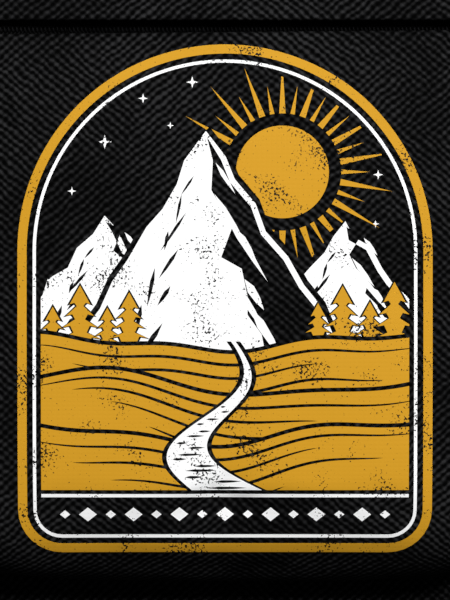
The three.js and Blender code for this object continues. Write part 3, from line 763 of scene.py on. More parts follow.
def seam_puckers(points, seam_y, along, depth=0.7, wave=13.0, reach=16.0):
    """Small gathers that run out of a seam at seam_y and fade with distance."""
    away = np.abs(points[:, 1] - seam_y)
    jitter = soft_noise(points, PUCKER_SIZE, PUCKER_SEED) * PUCKER_DRIFT
    return depth * np.exp(-away / reach) * np.sin(2 * math.pi * along / wave + jitter)


def perimeter(points):
    """How far round the bag a point lies, near enough for pucker waves."""
    return np.arctan2(points[:, 2] - ROUND_CENTRE_Z, points[:, 0]) * ROUND_RADIUS


def body_edge_distance(points):
    """How far in from the rim of the bag's front or back a point lies, and 0 on the gusset."""
    away = np.full(len(points), np.inf)
    for x, z in outline(BODY, 0.0, FINE_COUNTS):
        away = np.minimum(away, np.hypot(points[:, 0] - x, points[:, 2] - z))
    return np.where((points[:, 1] > BODY_FRONT - 1) & (points[:, 1] < BODY_BACK + 1), 0, away)


# Main compartment

BODY_COUNTS, BODY_PATCH, GUSSET_RINGS = (36, 30, 20, 8, 24), (-92, 92, 50, 345), 14
BASE_HELD = 9.0  # the base board holds the cloth up to this height
TOP_HELD = (412.0, 75.0)  # and the loop's footing holds it above this height, as far out as this
ZIP_HELD, ZIP_HELD_BELOW = 18.0, 12.0  # half the width that the zip holds, and how far below its ends
SHOULDER_X, SHOULDER_Z = 90.0, 330.0
BODY_PRESSURE, BODY_SWELL = 4.0, 4.0
BODY_LUMPS = ((0.9, 60.0, 2.0), (0.35, 22.0, 8.0))  # depth, size and seed
BACK_SEAM_PHASE = 9.0  # the gathers of the back seam stand this far round from the front's
SLACK_FROM, SLACK_REACH = 270.0, 40.0
SLACK_DEPTH, SLACK_LUMP, SLACK_SEED, SLACK_SINK = 2.4, 75.0, 11.0, 0.6
SLACK_SQUEEZE = np.array([1, 1, 1.5])  # the dents are wider than they are tall


def make_body():
    """The stuffed main compartment: swollen between its seams, gathered along them, and slack above."""
    depth = BODY_BACK - BODY_FRONT
    walls = [(-BODY_BULGE * math.sin(math.pi * k / GUSSET_RINGS), BODY_FRONT + depth * k / GUSSET_RINGS, None)
             for k in range(1, GUSSET_RINGS)]
    body, rings = stuffed("body_skin", BODY, BODY_COUNTS, BODY_PATCH, (BODY_FRONT, 0.0, FRONT_CROWN), walls,
                          (BODY_BACK, 0.0, BACK_CROWN), POLYESTER, creased=(0, -1))
    x, y, z = points_of(body).T
    by_zip = (np.abs(y - MAIN_ZIP_Y) < ZIP_HELD) & (z > MAIN_ZIP_START - ZIP_HELD_BELOW)
    held = (z < BASE_HELD) | by_zip & ((np.abs(x) > SHOULDER_X) | (z > SHOULDER_Z))
    held |= (z > TOP_HELD[0]) & (np.abs(x) < TOP_HELD[1])
    held[rings[0]] = held[rings[-1]] = True
    puff(body, np.flatnonzero(held), BODY_PRESSURE, BODY_SWELL)
    subdivide(body)

    spots = points_of(body)
    _, y, z = spots.T
    around, inset = perimeter(spots), body_edge_distance(spots)
    gather = seam_puckers(spots, BODY_FRONT, around)
    gather += seam_puckers(spots, BODY_BACK, around + BACK_SEAM_PHASE)
    gather += lumps(spots, BODY_LUMPS)
    # The upper front is slack where nothing fills it: broad dents above the pocket
    slack = ramp(z, SLACK_FROM, SLACK_REACH) * ramp(inset, 0, SLACK_REACH) * (y < BODY_FRONT)
    gather += slack * (SLACK_DEPTH * soft_noise(spots * SLACK_SQUEEZE, SLACK_LUMP, SLACK_SEED) - SLACK_SINK)
    # Nothing moves at the base, under the zip's tape or right on a seam
    gather *= ramp(z, 8, 12) * ramp(np.abs(y - MAIN_ZIP_Y), 15, 8)
    off_seam = np.minimum(np.abs(y - BODY_FRONT), np.abs(y - BODY_BACK))
    gather *= ramp(off_seam + inset, 0, 4)
    move_points(body, spots + normals_of(body) * gather[:, None])
    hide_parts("body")
    return body


body_surface = Surface(make_body())


# Front pocket

POCKET_COUNTS, POCKET_PATCH = (30, 26, 32, 10, 8), (-84, 84, 80, 244)
ROLL_STEPS, WALL_STEPS = 7, 4
POCKET_SEAM = BODY_FRONT - 1.0
FACE_DEPTH = 6.0  # what lies less deep than this belongs to the pocket's face
POCKET_PRESSURE, POCKET_SWELL = 3.0, 2.5
ZIP_BAND = 9.0  # the zip holds the cloth this far above and below its groove
POCKET_LUMPS = ((0.35, 40.0, 3.0), (0.12, 15.0, 4.0))
# Soft dimples where the stuffing is slack: x, z, size and depth
DIMPLES = [(28, 239, 9, 0.9), (42, 243, 7, 0.7), (60, 209, 9, 0.6), (-66, 232, 12, 0.5), (-20, 225, 14, 0.4)]
# The cloth stays flat behind the slider's pull, which hangs close to it
PULL_Z, PULL_BACK, PULL_ROOM, PULL_SLOPE = 232.0, -115.2, (9, 20), 0.4


def make_pocket():
    """The stuffed pocket: its face rolls back all round into walls that meet the front of the bag."""
    walls = []
    for k in range(1, ROLL_STEPS + 1):
        turn = math.pi / 2 * k / ROLL_STEPS
        back = POCKET_ROLL * (1 - math.cos(turn))
        walls.append((POCKET_ROLL * (1 - math.sin(turn)), POCKET_FACE + back, POCKET_ROLL * turn))
    start = POCKET_FACE + POCKET_ROLL
    for k in range(1, WALL_STEPS + 1):
        y = start + (POCKET_SEAM + 2 - start) * k / WALL_STEPS
        walls.append((0.0, y, POCKET_ROLL * math.pi / 2 + y - start))
    pocket, _ = stuffed("pocket_skin", POCKET, POCKET_COUNTS, POCKET_PATCH,
                        (POCKET_FACE, POCKET_ROLL, POCKET_CROWN), walls, (POCKET_SEAM + 3, 0.0, 0.0),
                        POLYESTER)
    x, y, z = points_of(pocket).T
    held = y > POCKET_SEAM - 2
    held |= (np.abs(z - GROOVE_Z) < ZIP_BAND) & (np.abs(x) < GROOVE_HALF) & (y < POCKET_FACE + FACE_DEPTH)
    puff(pocket, np.flatnonzero(held), POCKET_PRESSURE, POCKET_SWELL)
    subdivide(pocket, 2)

    spots = points_of(pocket)
    shift = lumps(spots, POCKET_LUMPS)
    for x, z, size, depth in DIMPLES:
        shift -= depth * np.exp(-(((spots[:, 0] - x) ** 2 + (spots[:, 2] - z) ** 2) / size ** 2))
    shift += seam_puckers(spots, POCKET_SEAM, perimeter(spots), depth=0.8, wave=15.0, reach=12.0)
    spots += normals_of(pocket) * shift[:, None]
    beside = np.maximum(np.abs(spots[:, 0] - SLIDER_X) - PULL_ROOM[0],
                        np.abs(spots[:, 2] - PULL_Z) - PULL_ROOM[1])
    spots[:, 1] = np.maximum(spots[:, 1], PULL_BACK - np.clip(beside, 0, None) * PULL_SLOPE)
    move_points(pocket, spots)
    return pocket


# The zip's groove: how far each height above its middle moves up and in. The lower edge rolls in softly.
# The welt above stands proud and ends in a crisp fold, and behind both the slot widens for the slider.
GROOVE_PROFILE = [
    (-9.0, 0.0, 0.0), (-6.0, 0.0, 0.25), (-4.0, 0.0, 0.8), (-2.9, 0.0, 1.6), (-2.3, 0.0, 2.5),
    (-2.0, -0.1, 3.5), (-1.85, -0.8, 4.1), (-1.7, -3.5, 4.5), (-1.55, -4.4, 5.4), (-1.4, -4.5, 7.6),
    (1.2, 4.4, 7.6), (1.35, 4.3, 5.0), (1.5, 3.4, 4.0), (1.65, 0.8, 3.2), (1.75, 0.1, 2.2),
    (1.85, 0.0, 0.3), (1.95, 0.0, -1.1), (2.2, 0.0, -1.6), (2.8, 0.0, -1.85), (4.5, 0.0, -1.6),
    (7.0, 0.0, -0.8), (10.5, 0.0, 0.0)]
GROOVE_LEAN = 0.009  # the lower edge rises by this share of the way from left to right
GROOVE_CUT = (16.0, 4.0)  # the cuts reach this far above and below the groove, and past its ends
GROOVE_ENDS = 3.0  # the groove fades out over this length
WELT_GAP, WELT_RISE = 6.0, 7.0  # the welt lies flat this far each side of the slider, then rises
FOLD_ANGLE = 55.0


def cut_groove(pocket):
    """Cuts the pocket's face along the groove's levels and moves each level to its place."""
    edit = bmesh.new()
    edit.from_mesh(pocket.data)
    for height, _, _ in GROOVE_PROFILE:
        lean = GROOVE_LEAN if height < 0 else 0.0
        near = []
        for face in edit.faces:
            x, y, z = face.calc_center_median() / MM
            beside = abs(z - GROOVE_Z) < GROOVE_CUT[0] and abs(x) < GROOVE_HALF + GROOVE_CUT[1]
            if beside and y < POCKET_FACE + 5:
                near.append(face)
        parts = set(near) | {e for f in near for e in f.edges} | {v for f in near for v in f.verts}
        bmesh.ops.bisect_plane(edit, geom=list(parts), dist=1e-7, plane_co=(0, 0, (GROOVE_Z + height) * MM),
                               plane_no=(-lean, 0, 1))
    edit.to_mesh(pocket.data)
    edit.free()
    spots = points_of(pocket)
    heights = spots[:, 2] - GROOVE_Z
    heights -= np.where(heights < 0, GROOVE_LEAN * spots[:, 0], 0)
    levels, rises, depths = zip(*GROOVE_PROFILE)
    rise = np.interp(heights, levels, rises)
    depth = np.interp(heights, levels, depths)
    beside = ramp(np.abs(spots[:, 0] - SLIDER_X), WELT_GAP, WELT_RISE)
    depth = np.where(depth < 0, depth * beside, depth)
    inside_ends = np.clip((GROOVE_HALF - np.abs(spots[:, 0])) / GROOVE_ENDS, 0, 1)
    fade = inside_ends * (spots[:, 1] < POCKET_FACE + FACE_DEPTH)
    spots[:, 1] += depth * fade
    spots[:, 2] += rise * fade
    move_points(pocket, spots)
    pocket.data.polygons.foreach_set("use_smooth", [True] * len(pocket.data.polygons))
    pocket.data.set_sharp_from_angle(angle=math.radians(FOLD_ANGLE))
    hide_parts("front_pocket")


pocket_skin = make_pocket()
pocket_face = Surface(pocket_skin)  # the print is laid on the face as it is before the groove is cut
cut_groove(pocket_skin)


# Small repeated pieces

BAR_SIDES, BAR_RINGS, BAR_LENGTH = 6, 5, 3
STITCH_STEP = 1.5  # a row of stitches is laid on its surface at points this far apart
ON_CLOTH, ON_WEBBING = 0.1, 0.15  # how far a row of stitches stands off what it is sewn to


def capsules(name, starts, ends, ups, radius, rise, material):
    """Many small rounded bars from starts to ends, each arched up by rise."""
    starts, ends, ups = (np.asarray(v, float) for v in (starts, ends, ups))
    along = unit(ends - starts)
    side = unit(np.cross(ups, along))
    up = np.cross(along, side)
    share = np.linspace(0, 1, BAR_RINGS)
    girth = radius * np.sin(np.pi * (0.1 + 0.8 * share)) ** 0.7
    lift = rise * np.sin(np.pi * share)
    centre = starts[:, None] + (ends - starts)[:, None] * share[:, None] + up[:, None] * lift[:, None]
    angles = np.arange(BAR_SIDES) * 2 * math.pi / BAR_SIDES
    spokes = side[:, None, None] * np.cos(angles)[:, None] + up[:, None, None] * np.sin(angles)[:, None]
    points = centre[:, :, None] + spokes * girth[:, None, None]
    faces = []
    for n in range(len(starts)):
        numbers = np.arange(BAR_RINGS * BAR_SIDES).reshape(BAR_RINGS, BAR_SIDES) + n * BAR_RINGS * BAR_SIDES
        for low, high in zip(numbers, numbers[1:]):
            for a, b, c, d in zip(low, np.roll(low, -1), np.roll(high, -1), high):
                faces.append((int(a), int(b), int(c), int(d)))
        faces.append([int(i) for i in numbers[0][::-1]])
        faces.append([int(i) for i in numbers[-1]])
    places = np.stack(np.meshgrid(angles * radius, share * BAR_LENGTH), -1).reshape(-1, 2)
    places = np.tile(places, (len(starts), 1))
    uv = places[[i for face in faces for i in face]]
    result = piece(name, points.reshape(-1, 3), faces, uv, material)
    face_outwards(result)
    return result


def stitches(name, rows, length=3.0, gap=0.9, radius=0.3):
    """Rows of lockstitch. Each stitch rises a little out of the cloth and dips in at its ends.
    rows holds (line, normals) pairs."""
    starts, ends, ups = [], [], []
    for line, normals in rows:
        lengths = lengths_along(line)
        at = np.arange(gap, lengths[-1] - length, length + gap)
        up = unit(at_lengths(normals, lengths, at + length / 2))
        starts.append(at_lengths(line, lengths, at) - up * radius * 0.3)
        ends.append(at_lengths(line, lengths, at + length) - up * radius * 0.3)
        ups.append(up)
    return capsules(name, np.vstack(starts), np.vstack(ends), np.vstack(ups), radius, radius * 0.9, THREAD)


def stitch_line(surface, points, direction, lift=ON_CLOTH):
    """A row for stitches: points laid on a surface along a direction."""
    return surface.lay(resample(points, STITCH_STEP), direction, lift)


SAME_PLACE, FLAT_ENOUGH, EDGE_FROM, SHARP_FROM = 1e-6, 2.0, 30.0, 35  # metres, then degrees


def rounded_copy(node, name, material, body, bevel):
    """A CAD piece with its edges eased, in place of the sharp one."""
    mesh = frame["nodes"][node].data.copy()
    mesh.materials.clear()
    mesh.materials.append(material)
    edit = bmesh.new()
    edit.from_mesh(mesh)
    bmesh.ops.remove_doubles(edit, verts=edit.verts, dist=SAME_PLACE)
    bmesh.ops.dissolve_limit(edit, angle_limit=math.radians(FLAT_ENOUGH), verts=edit.verts,
                             edges=edit.edges)
    sharp = [e for e in edit.edges
             if len(e.link_faces) == 2 and e.calc_face_angle() > math.radians(EDGE_FROM)]
    bmesh.ops.bevel(edit, geom=sharp, offset=bevel * MM, segments=3, profile=0.6, affect="EDGES",
                    clamp_overlap=True)
    bmesh.ops.recalc_face_normals(edit, faces=edit.faces)
    edit.to_mesh(mesh)
    edit.free()
    layer = mesh.uv_layers.new(name=LAYER)
    for polygon in mesh.polygons:
        axes = [i for i in range(3) if i != int(np.argmax(np.abs(polygon.normal)))]
        for loop in polygon.loop_indices:
            co = mesh.vertices[mesh.loops[loop].vertex_index].co
            layer.data[loop].uv = (co[axes[0]], co[axes[1]])
    mesh.polygons.foreach_set("use_smooth", [True] * len(mesh.polygons))
    mesh.set_sharp_from_angle(angle=math.radians(SHARP_FROM))
    result = add_piece(name, mesh, body)
    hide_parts(node)


# A sewn patch's rim: shares of its outline and of its thickness. Its foot lies a little in the surface.
EASED_RIM, PATCH_FOOT = ((1.0, 0.35), (0.984, 0.8), (0.96, 1.0)), -0.6


def applique(name, edge, surface, thickness, rings=8):
    """A flat patch of the bag's cloth laid on its back. edge holds its (x, z) outline."""
    middle = edge.mean(axis=0)
    sides = len(edge)
    shares = [1.0] + [share for share, _ in EASED_RIM]
    shares += list(np.linspace(shares[-1], 0, rings + 1)[1:-1])
    levels = [PATCH_FOOT / thickness] + [level for _, level in EASED_RIM]
    levels += [1.0] * (len(shares) - len(levels))
    plan = np.vstack([middle + (edge - middle) * s for s in shares] + [middle[None]])
    tall = np.append(np.repeat(levels, sides), 1.0) * thickness
    points, _ = surface.lay(facing(plan, OUT_BACK), INTO_BACK)
    points[:, 1] += tall
    faces = []
    for r in range(len(shares) - 1):
        for i in range(sides):
            j = (i + 1) % sides
            faces.append((r * sides + i, r * sides + j, (r + 1) * sides + j, (r + 1) * sides + i))
    last = (len(shares) - 1) * sides
    faces += [(last + i, last + (i + 1) % sides, len(plan) - 1) for i in range(sides)]
    faces.append(list(range(sides))[::-1])
    uv = np.vstack([plan[i] for face in faces for i in face])
    result = piece(name, points, faces, uv, POLYESTER)
    face_outwards(result)
    return result


# Seams, piping and base

PIPING_RADIUS, PIPING_SIDES, PIPING_OUT = 2.0, 12, 1.25
PIPING_WANDER, PIPING_LUMP, BODY_MIDDLE = 0.25, 30.0, (0, 0, 210)
SEWING_INSET, GUSSET_ROW_OUT, RAY_FROM = 4.5, 2.0, 20
BASE_BEVEL = 1.4


def on_gusset(plan, y):
    """Points (x, z) of an outline as places on the gusset at y, with their outward normals."""
    along = unit(np.roll(plan, -1, 0) - np.roll(plan, 1, 0))
    outwards = np.column_stack([along[:, 1], np.zeros(len(plan)), -along[:, 0]])
    return body_surface.lay(facing(plan, y) + outwards * RAY_FROM, -outwards, ON_CLOTH)


def make_piping():
    """Piping round both rims of the bag, with a row of stitches each side of it."""
    rows = []
    for name, seam, side in (("front_piping", BODY_FRONT, 1), ("back_piping", BODY_BACK, -1)):
        line = facing(outline(BODY, -PIPING_OUT, FINE_COUNTS), seam - side * PIPING_OUT)
        wander = PIPING_WANDER * soft_noise(line, PIPING_LUMP, seam)
        line += unit(line - BODY_MIDDLE) * wander[:, None]
        section = round_section(PIPING_RADIUS, PIPING_SIDES)
        cord = sweep(f"{name}_cord", line, (0, 1, 0), section, BINDING, loop=True)
        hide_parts(name)
        inner = closed(outline(BODY, SEWING_INSET, FINE_COUNTS))
        rows.append(body_surface.lay(facing(inner, seam - side * 60), (0, side, 0), ON_CLOTH))
        loop = outline(BODY, -GUSSET_ROW_OUT, FINE_COUNTS)
        places, normals = on_gusset(loop, seam + side * SEWING_INSET)
        rows.append((closed(places), closed(normals)))
    stitches("seam_stitches", rows)


# Zips

COIL_PITCH = 1.5  # drawn a little coarser than a real coil, so that its turns show
TOOTH_OVERLAP, TOOTH_SLANT = 0.5, 0.35
MAIN_TAPE, MAIN_TAPE_LIFT = flat_section(30, 1.0, 0.4), 0.6
MAIN_COIL_WIDTH, MAIN_COIL_WIRE, MAIN_COIL_LIFT = 6.4, 0.62, 1.3
TAPE_ROW, TAPE_ROW_LIFT, CLOTH_ROW = 12.2, 1.25, 18.5  # the rows of stitches each side of the coil
ZIP_END, ZIP_END_HALF, ZIP_END_UP, ZIP_END_OUT = flat_section(12, 1.6, 0.5), 17, 2, 1.6
POCKET_ZIP_Y, POCKET_ZIP_HALF, POCKET_TAPE = -107.9, 102.6, flat_section(11.4, 0.8, 0.3)
POCKET_COIL_WIDTH, POCKET_COIL_WIRE, POCKET_COIL_LIFT = 4.0, 0.5, 0.8


def coil_teeth(name, line, normals, width, radius):
    """Both rows of a coil zip: slanted turns that mesh along the middle."""
    line = resample(np.hstack([line, normals]), COIL_PITCH / 2)
    places, ups = line[:, :3], unit(line[:, 3:])
    along = tangents(places)
    side = unit(np.cross(ups, along))
    sign = np.where(np.arange(len(places)) % 2, 1.0, -1.0)[:, None]
    inner = places - side * sign * TOOTH_OVERLAP
    outer = places + side * sign * width / 2 + along * COIL_PITCH * TOOTH_SLANT
    coil = capsules(name, inner, outer, ups, radius, radius * 0.5, COIL)


def make_main_zip():
    """The zip over the top of the gusset, its stitches, and the folded ends where it stops."""
    loop = outline(BODY, -BODY_BULGE - 0.3, FINE_COUNTS)
    line = facing(loop[loop[:, 1] > MAIN_ZIP_START], MAIN_ZIP_Y)
    along = tangents(line)
    outwards = np.column_stack([along[:, 2], np.zeros(len(line)), -along[:, 0]])
    tape = sweep("main_zip_tape", line + outwards * MAIN_TAPE_LIFT, (0, 1, 0), MAIN_TAPE, TAPE)
    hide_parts("main_zip")
    coil_teeth("main_zip_coil", line + outwards * MAIN_COIL_LIFT, outwards, MAIN_COIL_WIDTH, MAIN_COIL_WIRE)
    rows = []
    for side in (-1, 1):
        rows.append((line + outwards * TAPE_ROW_LIFT + np.array([0, side * TAPE_ROW, 0]), outwards))
        starts = line + outwards * RAY_FROM + np.array([0, side * CLOTH_ROW, 0])
        rows.append(body_surface.lay(starts, -outwards, ON_CLOTH))
    stitches("main_zip_stitches", rows)
    for side, name, place in ((1, "main_zip_end_right", line[0]), (-1, "main_zip_end_left", line[-1])):
        x, z = place[0] + side * ZIP_END_OUT, MAIN_ZIP_START + ZIP_END_UP
        depths = np.linspace(MAIN_ZIP_Y - ZIP_END_HALF, MAIN_ZIP_Y + ZIP_END_HALF, 9)
        end = sweep(name, [(x, y, z) for y in depths], (0, 0, 1), ZIP_END, BINDING)


def make_pocket_zip():
    """The concealed zip at the bottom of the pocket's groove."""
    line = np.array([(x, POCKET_ZIP_Y, GROOVE_Z) for x in np.linspace(-POCKET_ZIP_HALF, POCKET_ZIP_HALF, 60)])
    tape = sweep("pocket_zip_tape", line, (0, 0, 1), POCKET_TAPE, TAPE)
    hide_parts("pocket_zip")
    ups = np.tile([0.0, -1.0, 0.0], (len(line), 1))
    coil_teeth("pocket_zip_coil", line + ups * POCKET_COIL_LIFT, ups, POCKET_COIL_WIDTH, POCKET_COIL_WIRE)


def make_pulls():
    for node, body in (("pocket_slider", "pocket_slider"), ("pocket_pull", "pocket_pull"),
                       ("main_left_slider", "bag"), ("main_right_slider", "bag"),
                       ("main_left_pull", "main_left_pull"), ("main_right_pull", "main_right_pull")):
        rounded_copy(node, f"{node}_cast", LACQUERED_ZINC, body, 0.3)


# Haul loop

LOOP_Y, LOOP_SECTION, LOOP_RISE = 45.0, flat_section(24.0, 2.8, 0.6, 4), 36.0
LOOP_FOOT = BODY["top"] + 2.8
# Half of the loop's line, from its crown down to its end: x and z
LOOP_HALF = [(15, LOOP_FOOT + LOOP_RISE * 0.92), (29, LOOP_FOOT + LOOP_RISE * 0.62), (37, LOOP_FOOT + 6),
             (45, LOOP_FOOT + 0.3), (57, LOOP_FOOT - 0.6)]
LOOP_ROW, LOOP_BOX_HALF, LOOP_BOX, LOOP_BOX_FROM = 9, 7, (44.0, 54.0), 460
BOX_AND_CROSS = ((0, 1), (1, 2), (2, 3), (3, 0), (0, 2), (1, 3))


def make_haul_loop():
    """The loop of webbing on top, sewn along its edges and with a crossed box on each foot."""
    points = [(-x, LOOP_Y, z) for x, z in reversed(LOOP_HALF)]
    points += [(0, LOOP_Y, LOOP_FOOT + LOOP_RISE - 1.5)] + [(x, LOOP_Y, z) for x, z in LOOP_HALF]
    line = resample(spline(points, 12), 1.5)
    handle = sweep("haul_loop_webbing", line, (0, 1, 0), LOOP_SECTION, WEBBING)
    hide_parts("haul_loop")
    surface = Surface(handle)
    along = resample(line, STITCH_STEP)
    rows = []
    for y in (LOOP_Y - LOOP_ROW, LOOP_Y + LOOP_ROW):
        starts = np.column_stack([along[:, 0], np.full(len(along), y), along[:, 2] + 30])
        rows.append(surface.lay(starts, FROM_ABOVE, ON_CLOTH))
    near, far = LOOP_Y - LOOP_BOX_HALF, LOOP_Y + LOOP_BOX_HALF
    for side in (-1, 1):
        x0, x1 = sorted(side * x for x in LOOP_BOX)
        corners = [(x, y, LOOP_BOX_FROM) for x, y in ((x0, near), (x1, near), (x1, far), (x0, far))]
        for a, b in BOX_AND_CROSS:
            rows.append(stitch_line(surface, [corners[a], corners[b]], FROM_ABOVE, ON_WEBBING))
    stitches("haul_loop_stitches", rows, radius=0.35)


# Padded back

PAD_COUNTS, PAD_PATCH, PAD_RIM_COUNTS = (30, 40, 22, 10, 18), (-70, 70, 60, 296), (60, 80, 32, 20, 36)
PAD_CHANNELS, CHANNEL_RISE, CHANNEL_RUN = (92.0, 162.0, 232.0), 14, 65  # they slant up and outwards
RIDGE_HALF = 24.0  # the upright channels lie this far each side of the middle
CHANNEL_HELD, CHANNEL_DEPTH, CHANNEL_REACH, PAD_THINNEST = 3.4, 2.4, 2.6, 1.2
PAD_PRESSURE, PAD_SWELL = 4.0, 4.5
PAD_PIPING, PAD_PIPING_OUT, PAD_PIPING_LIFT = round_section(1.9, 10), 0.6, 1.6


def back_of_body(plan):
    """The places on the bag's back that points (x, z) fall on."""
    return body_surface.lay(facing(plan, OUT_BACK), INTO_BACK)[0]


def quilt_distance(spots):
    """How far a point lies from the nearest channel, upright or slanted."""
    beside = np.abs(spots[:, 0]) - RIDGE_HALF
    away = np.abs(beside)
    for z in PAD_CHANNELS:
        slanted = np.abs(spots[:, 2] - z - CHANNEL_RISE * ramp(beside, 0, CHANNEL_RUN))
        away = np.where(beside > 0, np.minimum(away, slanted), away)
    return away


def make_back_pad():
    """The padded back: a quilted form, pinned at its rim and channels while it swells."""
    pad, rings = stuffed("back_pad_quilted", BACK_PAD, PAD_COUNTS, PAD_PATCH, (-4.0, 4.0, 0.8),
                         [(1.2, -2.4, 3.0), (0.0, 0.0, 5.0)], (2.5, 0.0, 0.0), SPACER)
    spots = points_of(pad)
    ground = back_of_body(spots[:, ::2])
    spots[:, 1] = ground[:, 1] - spots[:, 1]
    move_points(pad, spots)
    pad.data.flip_normals()
    face_outwards(pad)
    outer = spots[:, 1] > ground[:, 1] + 1
    held = (quilt_distance(spots) < CHANNEL_HELD) | ~outer
    held[rings[0]] = True
    puff(pad, np.flatnonzero(held), PAD_PRESSURE, PAD_SWELL)
    subdivide(pad)
    spots = points_of(pad)
    tall = spots[:, 1] - back_of_body(spots[:, ::2])[:, 1]
    sunk = CHANNEL_DEPTH * np.exp(-(quilt_distance(spots) / CHANNEL_REACH) ** 2) * ramp(tall, 1, 2)
    spots[:, 1] -= np.minimum(sunk, np.maximum(tall - PAD_THINNEST, 0))
    move_points(pad, spots)
    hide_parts("back_pad")
    rim = facing(outline(BACK_PAD, -PAD_PIPING_OUT, PAD_RIM_COUNTS), OUT_BACK)
    seat, _ = body_surface.lay(rim, INTO_BACK, PAD_PIPING_LIFT)
    cord = sweep("back_pad_piping", seat, (0, 1, 0), PAD_PIPING, BINDING, loop=True)
    channels = [[(x, OUT_BACK, 44), (x, OUT_BACK, 326)] for x in (-RIDGE_HALF, RIDGE_HALF)]
    for z in PAD_CHANNELS:
        for side in (-1, 1):
            channels.append([(side * 27.0, OUT_BACK, z), (side * 92.0, OUT_BACK, z + CHANNEL_RISE)])
    surface = Surface(pad)
    stitches("back_pad_stitches", [stitch_line(surface, ends, INTO_BACK) for ends in channels])


# Yoke, shoulder straps and webbing

YOKE_HALF, YOKE_BOTTOM, YOKE_TOP, YOKE_CORNER, YOKE_TAPER = 79, 346, 392, 12, 0.06
YOKE_THICKNESS, YOKE_RINGS, YOKE_ROWS = 2.3, 14, (3.0, 6.0)
YOKE_BOX, YOKE_BOX_BOTTOM, YOKE_BOX_TOP = (26.0, 62.0), 356, 384
STRAP_STEP, STRAP_WIDTHS, STRAP_DEPTHS = 4.0, (60, 30), (9.5, 4.5)  # above, and at the foot
STRAP_NARROWS = 0.72  # a strap narrows from this share of its length
STRAP_COLUMNS, STRAP_HELD = 13, [0, 5, 6, 7, 12, 13, 25]  # points across a face, and those that are sewn
STRAP_PRESSURE, STRAP_SWELL, STRAP_LUMP_DEPTH, STRAP_LUMP = 3.0, 1.6, 0.22, 16.0
TOWARDS_BACK, MESH_FROM = unit(np.array([0.0, -1.0, -0.15])), 0.35  # where a strap is faced with mesh
STRAP_BINDING, STRAP_BINDING_IN = flat_section(5.2, 3.4, 0.9, 4), 2.6
WEBBING_SECTION = flat_section(WEBBING_WIDTH, WEBBING_THICKNESS, 0.5)
BAR_TACKS, BAR_TACK_ROWS, BAR_TACK_HALF = (20, 78, 136, 190), (-3.0, -1.5, 0.0, 1.5, 3.0), 10
WEBBING_ROW, WEBBING_ROW_LIFT = 10.8, 0.85
LOCK_BAR, ANCHOR = 0.6, (123.0, 68.6, 58.0)  # the lock's bar, and where its webbing is sewn to the base
HEM_SECTION, HEM_POINTS = flat_section(25.4, 3.4, 0.5), 8


def yoke_edge(inset):
    corner = YOKE_CORNER - inset
    panel = {"width": 2 * (YOKE_HALF - inset), "bottom": YOKE_BOTTOM + inset, "top": YOKE_TOP - inset,
             "low_radius": corner, "high_radius": corner, "taper": YOKE_TAPER}
    return outline(panel, 0.0, (10, 5, 10, 6, 6))


def make_yoke():
    """The panel that the straps are sewn under, with two rows round its rim and two crossed boxes."""
    yoke = applique("strap_yoke_panel", yoke_edge(0), body_surface, YOKE_THICKNESS, YOKE_RINGS)
    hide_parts("strap_yoke")
    surface = Surface(yoke)
    rows = [stitch_line(surface, facing(closed(yoke_edge(inset)), OUT_BACK), INTO_BACK)
            for inset in YOKE_ROWS]
    for side in (-1, 1):
        x0, x1 = sorted(side * x for x in YOKE_BOX)
        a, b, c, d = facing([(x0, YOKE_BOX_BOTTOM), (x1, YOKE_BOX_BOTTOM),
                             (x1, YOKE_BOX_TOP), (x0, YOKE_BOX_TOP)], OUT_BACK)
        for line in ([a, b, c, d, a], [a, c], [d, b]):
            rows.append(stitch_line(surface, line, INTO_BACK, ON_WEBBING))
    stitches("yoke_stitches", rows)


def strap_curve(side):
    return spline([(side * x, y, z) for x, y, z in STRAP_PATH], 16)


def narrowed(sizes, share):
    """A strap's width or depth at a share of its length."""
    low = ramp(share, STRAP_NARROWS, 1.0 - STRAP_NARROWS)
    return sizes[0] + (sizes[1] - sizes[0]) * (low * low * (3 - 2 * low))


def make_strap(side, name):
    """A padded strap, faced with mesh, and the bindings on its edges. Gives its line and directions."""
    line = resample(strap_curve(side), STRAP_STEP)
    shares = np.linspace(0, 1, len(line))
    along = tangents(line)
    out = unit(np.cross(np.array([1.0, 0, 0]), along))
    out = np.where(out[:, 1:2] < 0, -out, out)
    across = unit(np.cross(along, out))
    columns = np.linspace(-1, 1, STRAP_COLUMNS)
    sections = []
    for share in shares:
        half, thick = narrowed(STRAP_WIDTHS, share) / 2 - 2.5, narrowed(STRAP_DEPTHS, share) / 2
        swell = 1.1 + (thick - 1.4) * np.clip(1 - np.abs(columns) ** 4, 0, 1) ** 0.5 * 0.82
        top = np.stack([columns * half, swell], 1)
        under = np.stack([columns[::-1] * half, -swell[::-1]], 1)
        sections.append(np.vstack([top, under]))
    strap = sweep_framed(name, line, across, out, np.array(sections), POLYESTER)
    numbers = np.arange(len(line) * 2 * STRAP_COLUMNS).reshape(len(line), -1)
    held = np.concatenate([numbers[:, STRAP_HELD].ravel(), numbers[:2].ravel(), numbers[-3:].ravel()])
    puff(strap, held, STRAP_PRESSURE, STRAP_SWELL)
    subdivide(strap)
    spots = points_of(strap)
    shift = STRAP_LUMP_DEPTH * soft_noise(spots, STRAP_LUMP, side * 3.0)
    move_points(strap, spots + normals_of(strap) * shift[:, None])
    strap.data.materials.append(SPACER)
    strap.data.polygons.foreach_set("material_index", [
        int(np.dot(np.array(p.normal), TOWARDS_BACK) > MESH_FROM) for p in strap.data.polygons])
    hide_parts(name.replace("_padding", ""))
    half = narrowed(STRAP_WIDTHS, shares) / 2 - STRAP_BINDING_IN
    for edge_side in (-1, 1):
        label = "inner" if edge_side * side < 0 else "outer"
        binding = sweep_framed(f"{name}_binding_{label}", line + across * (edge_side * half)[:, None],
                               across, out, STRAP_BINDING, BINDING)
    return line, across, out, shares


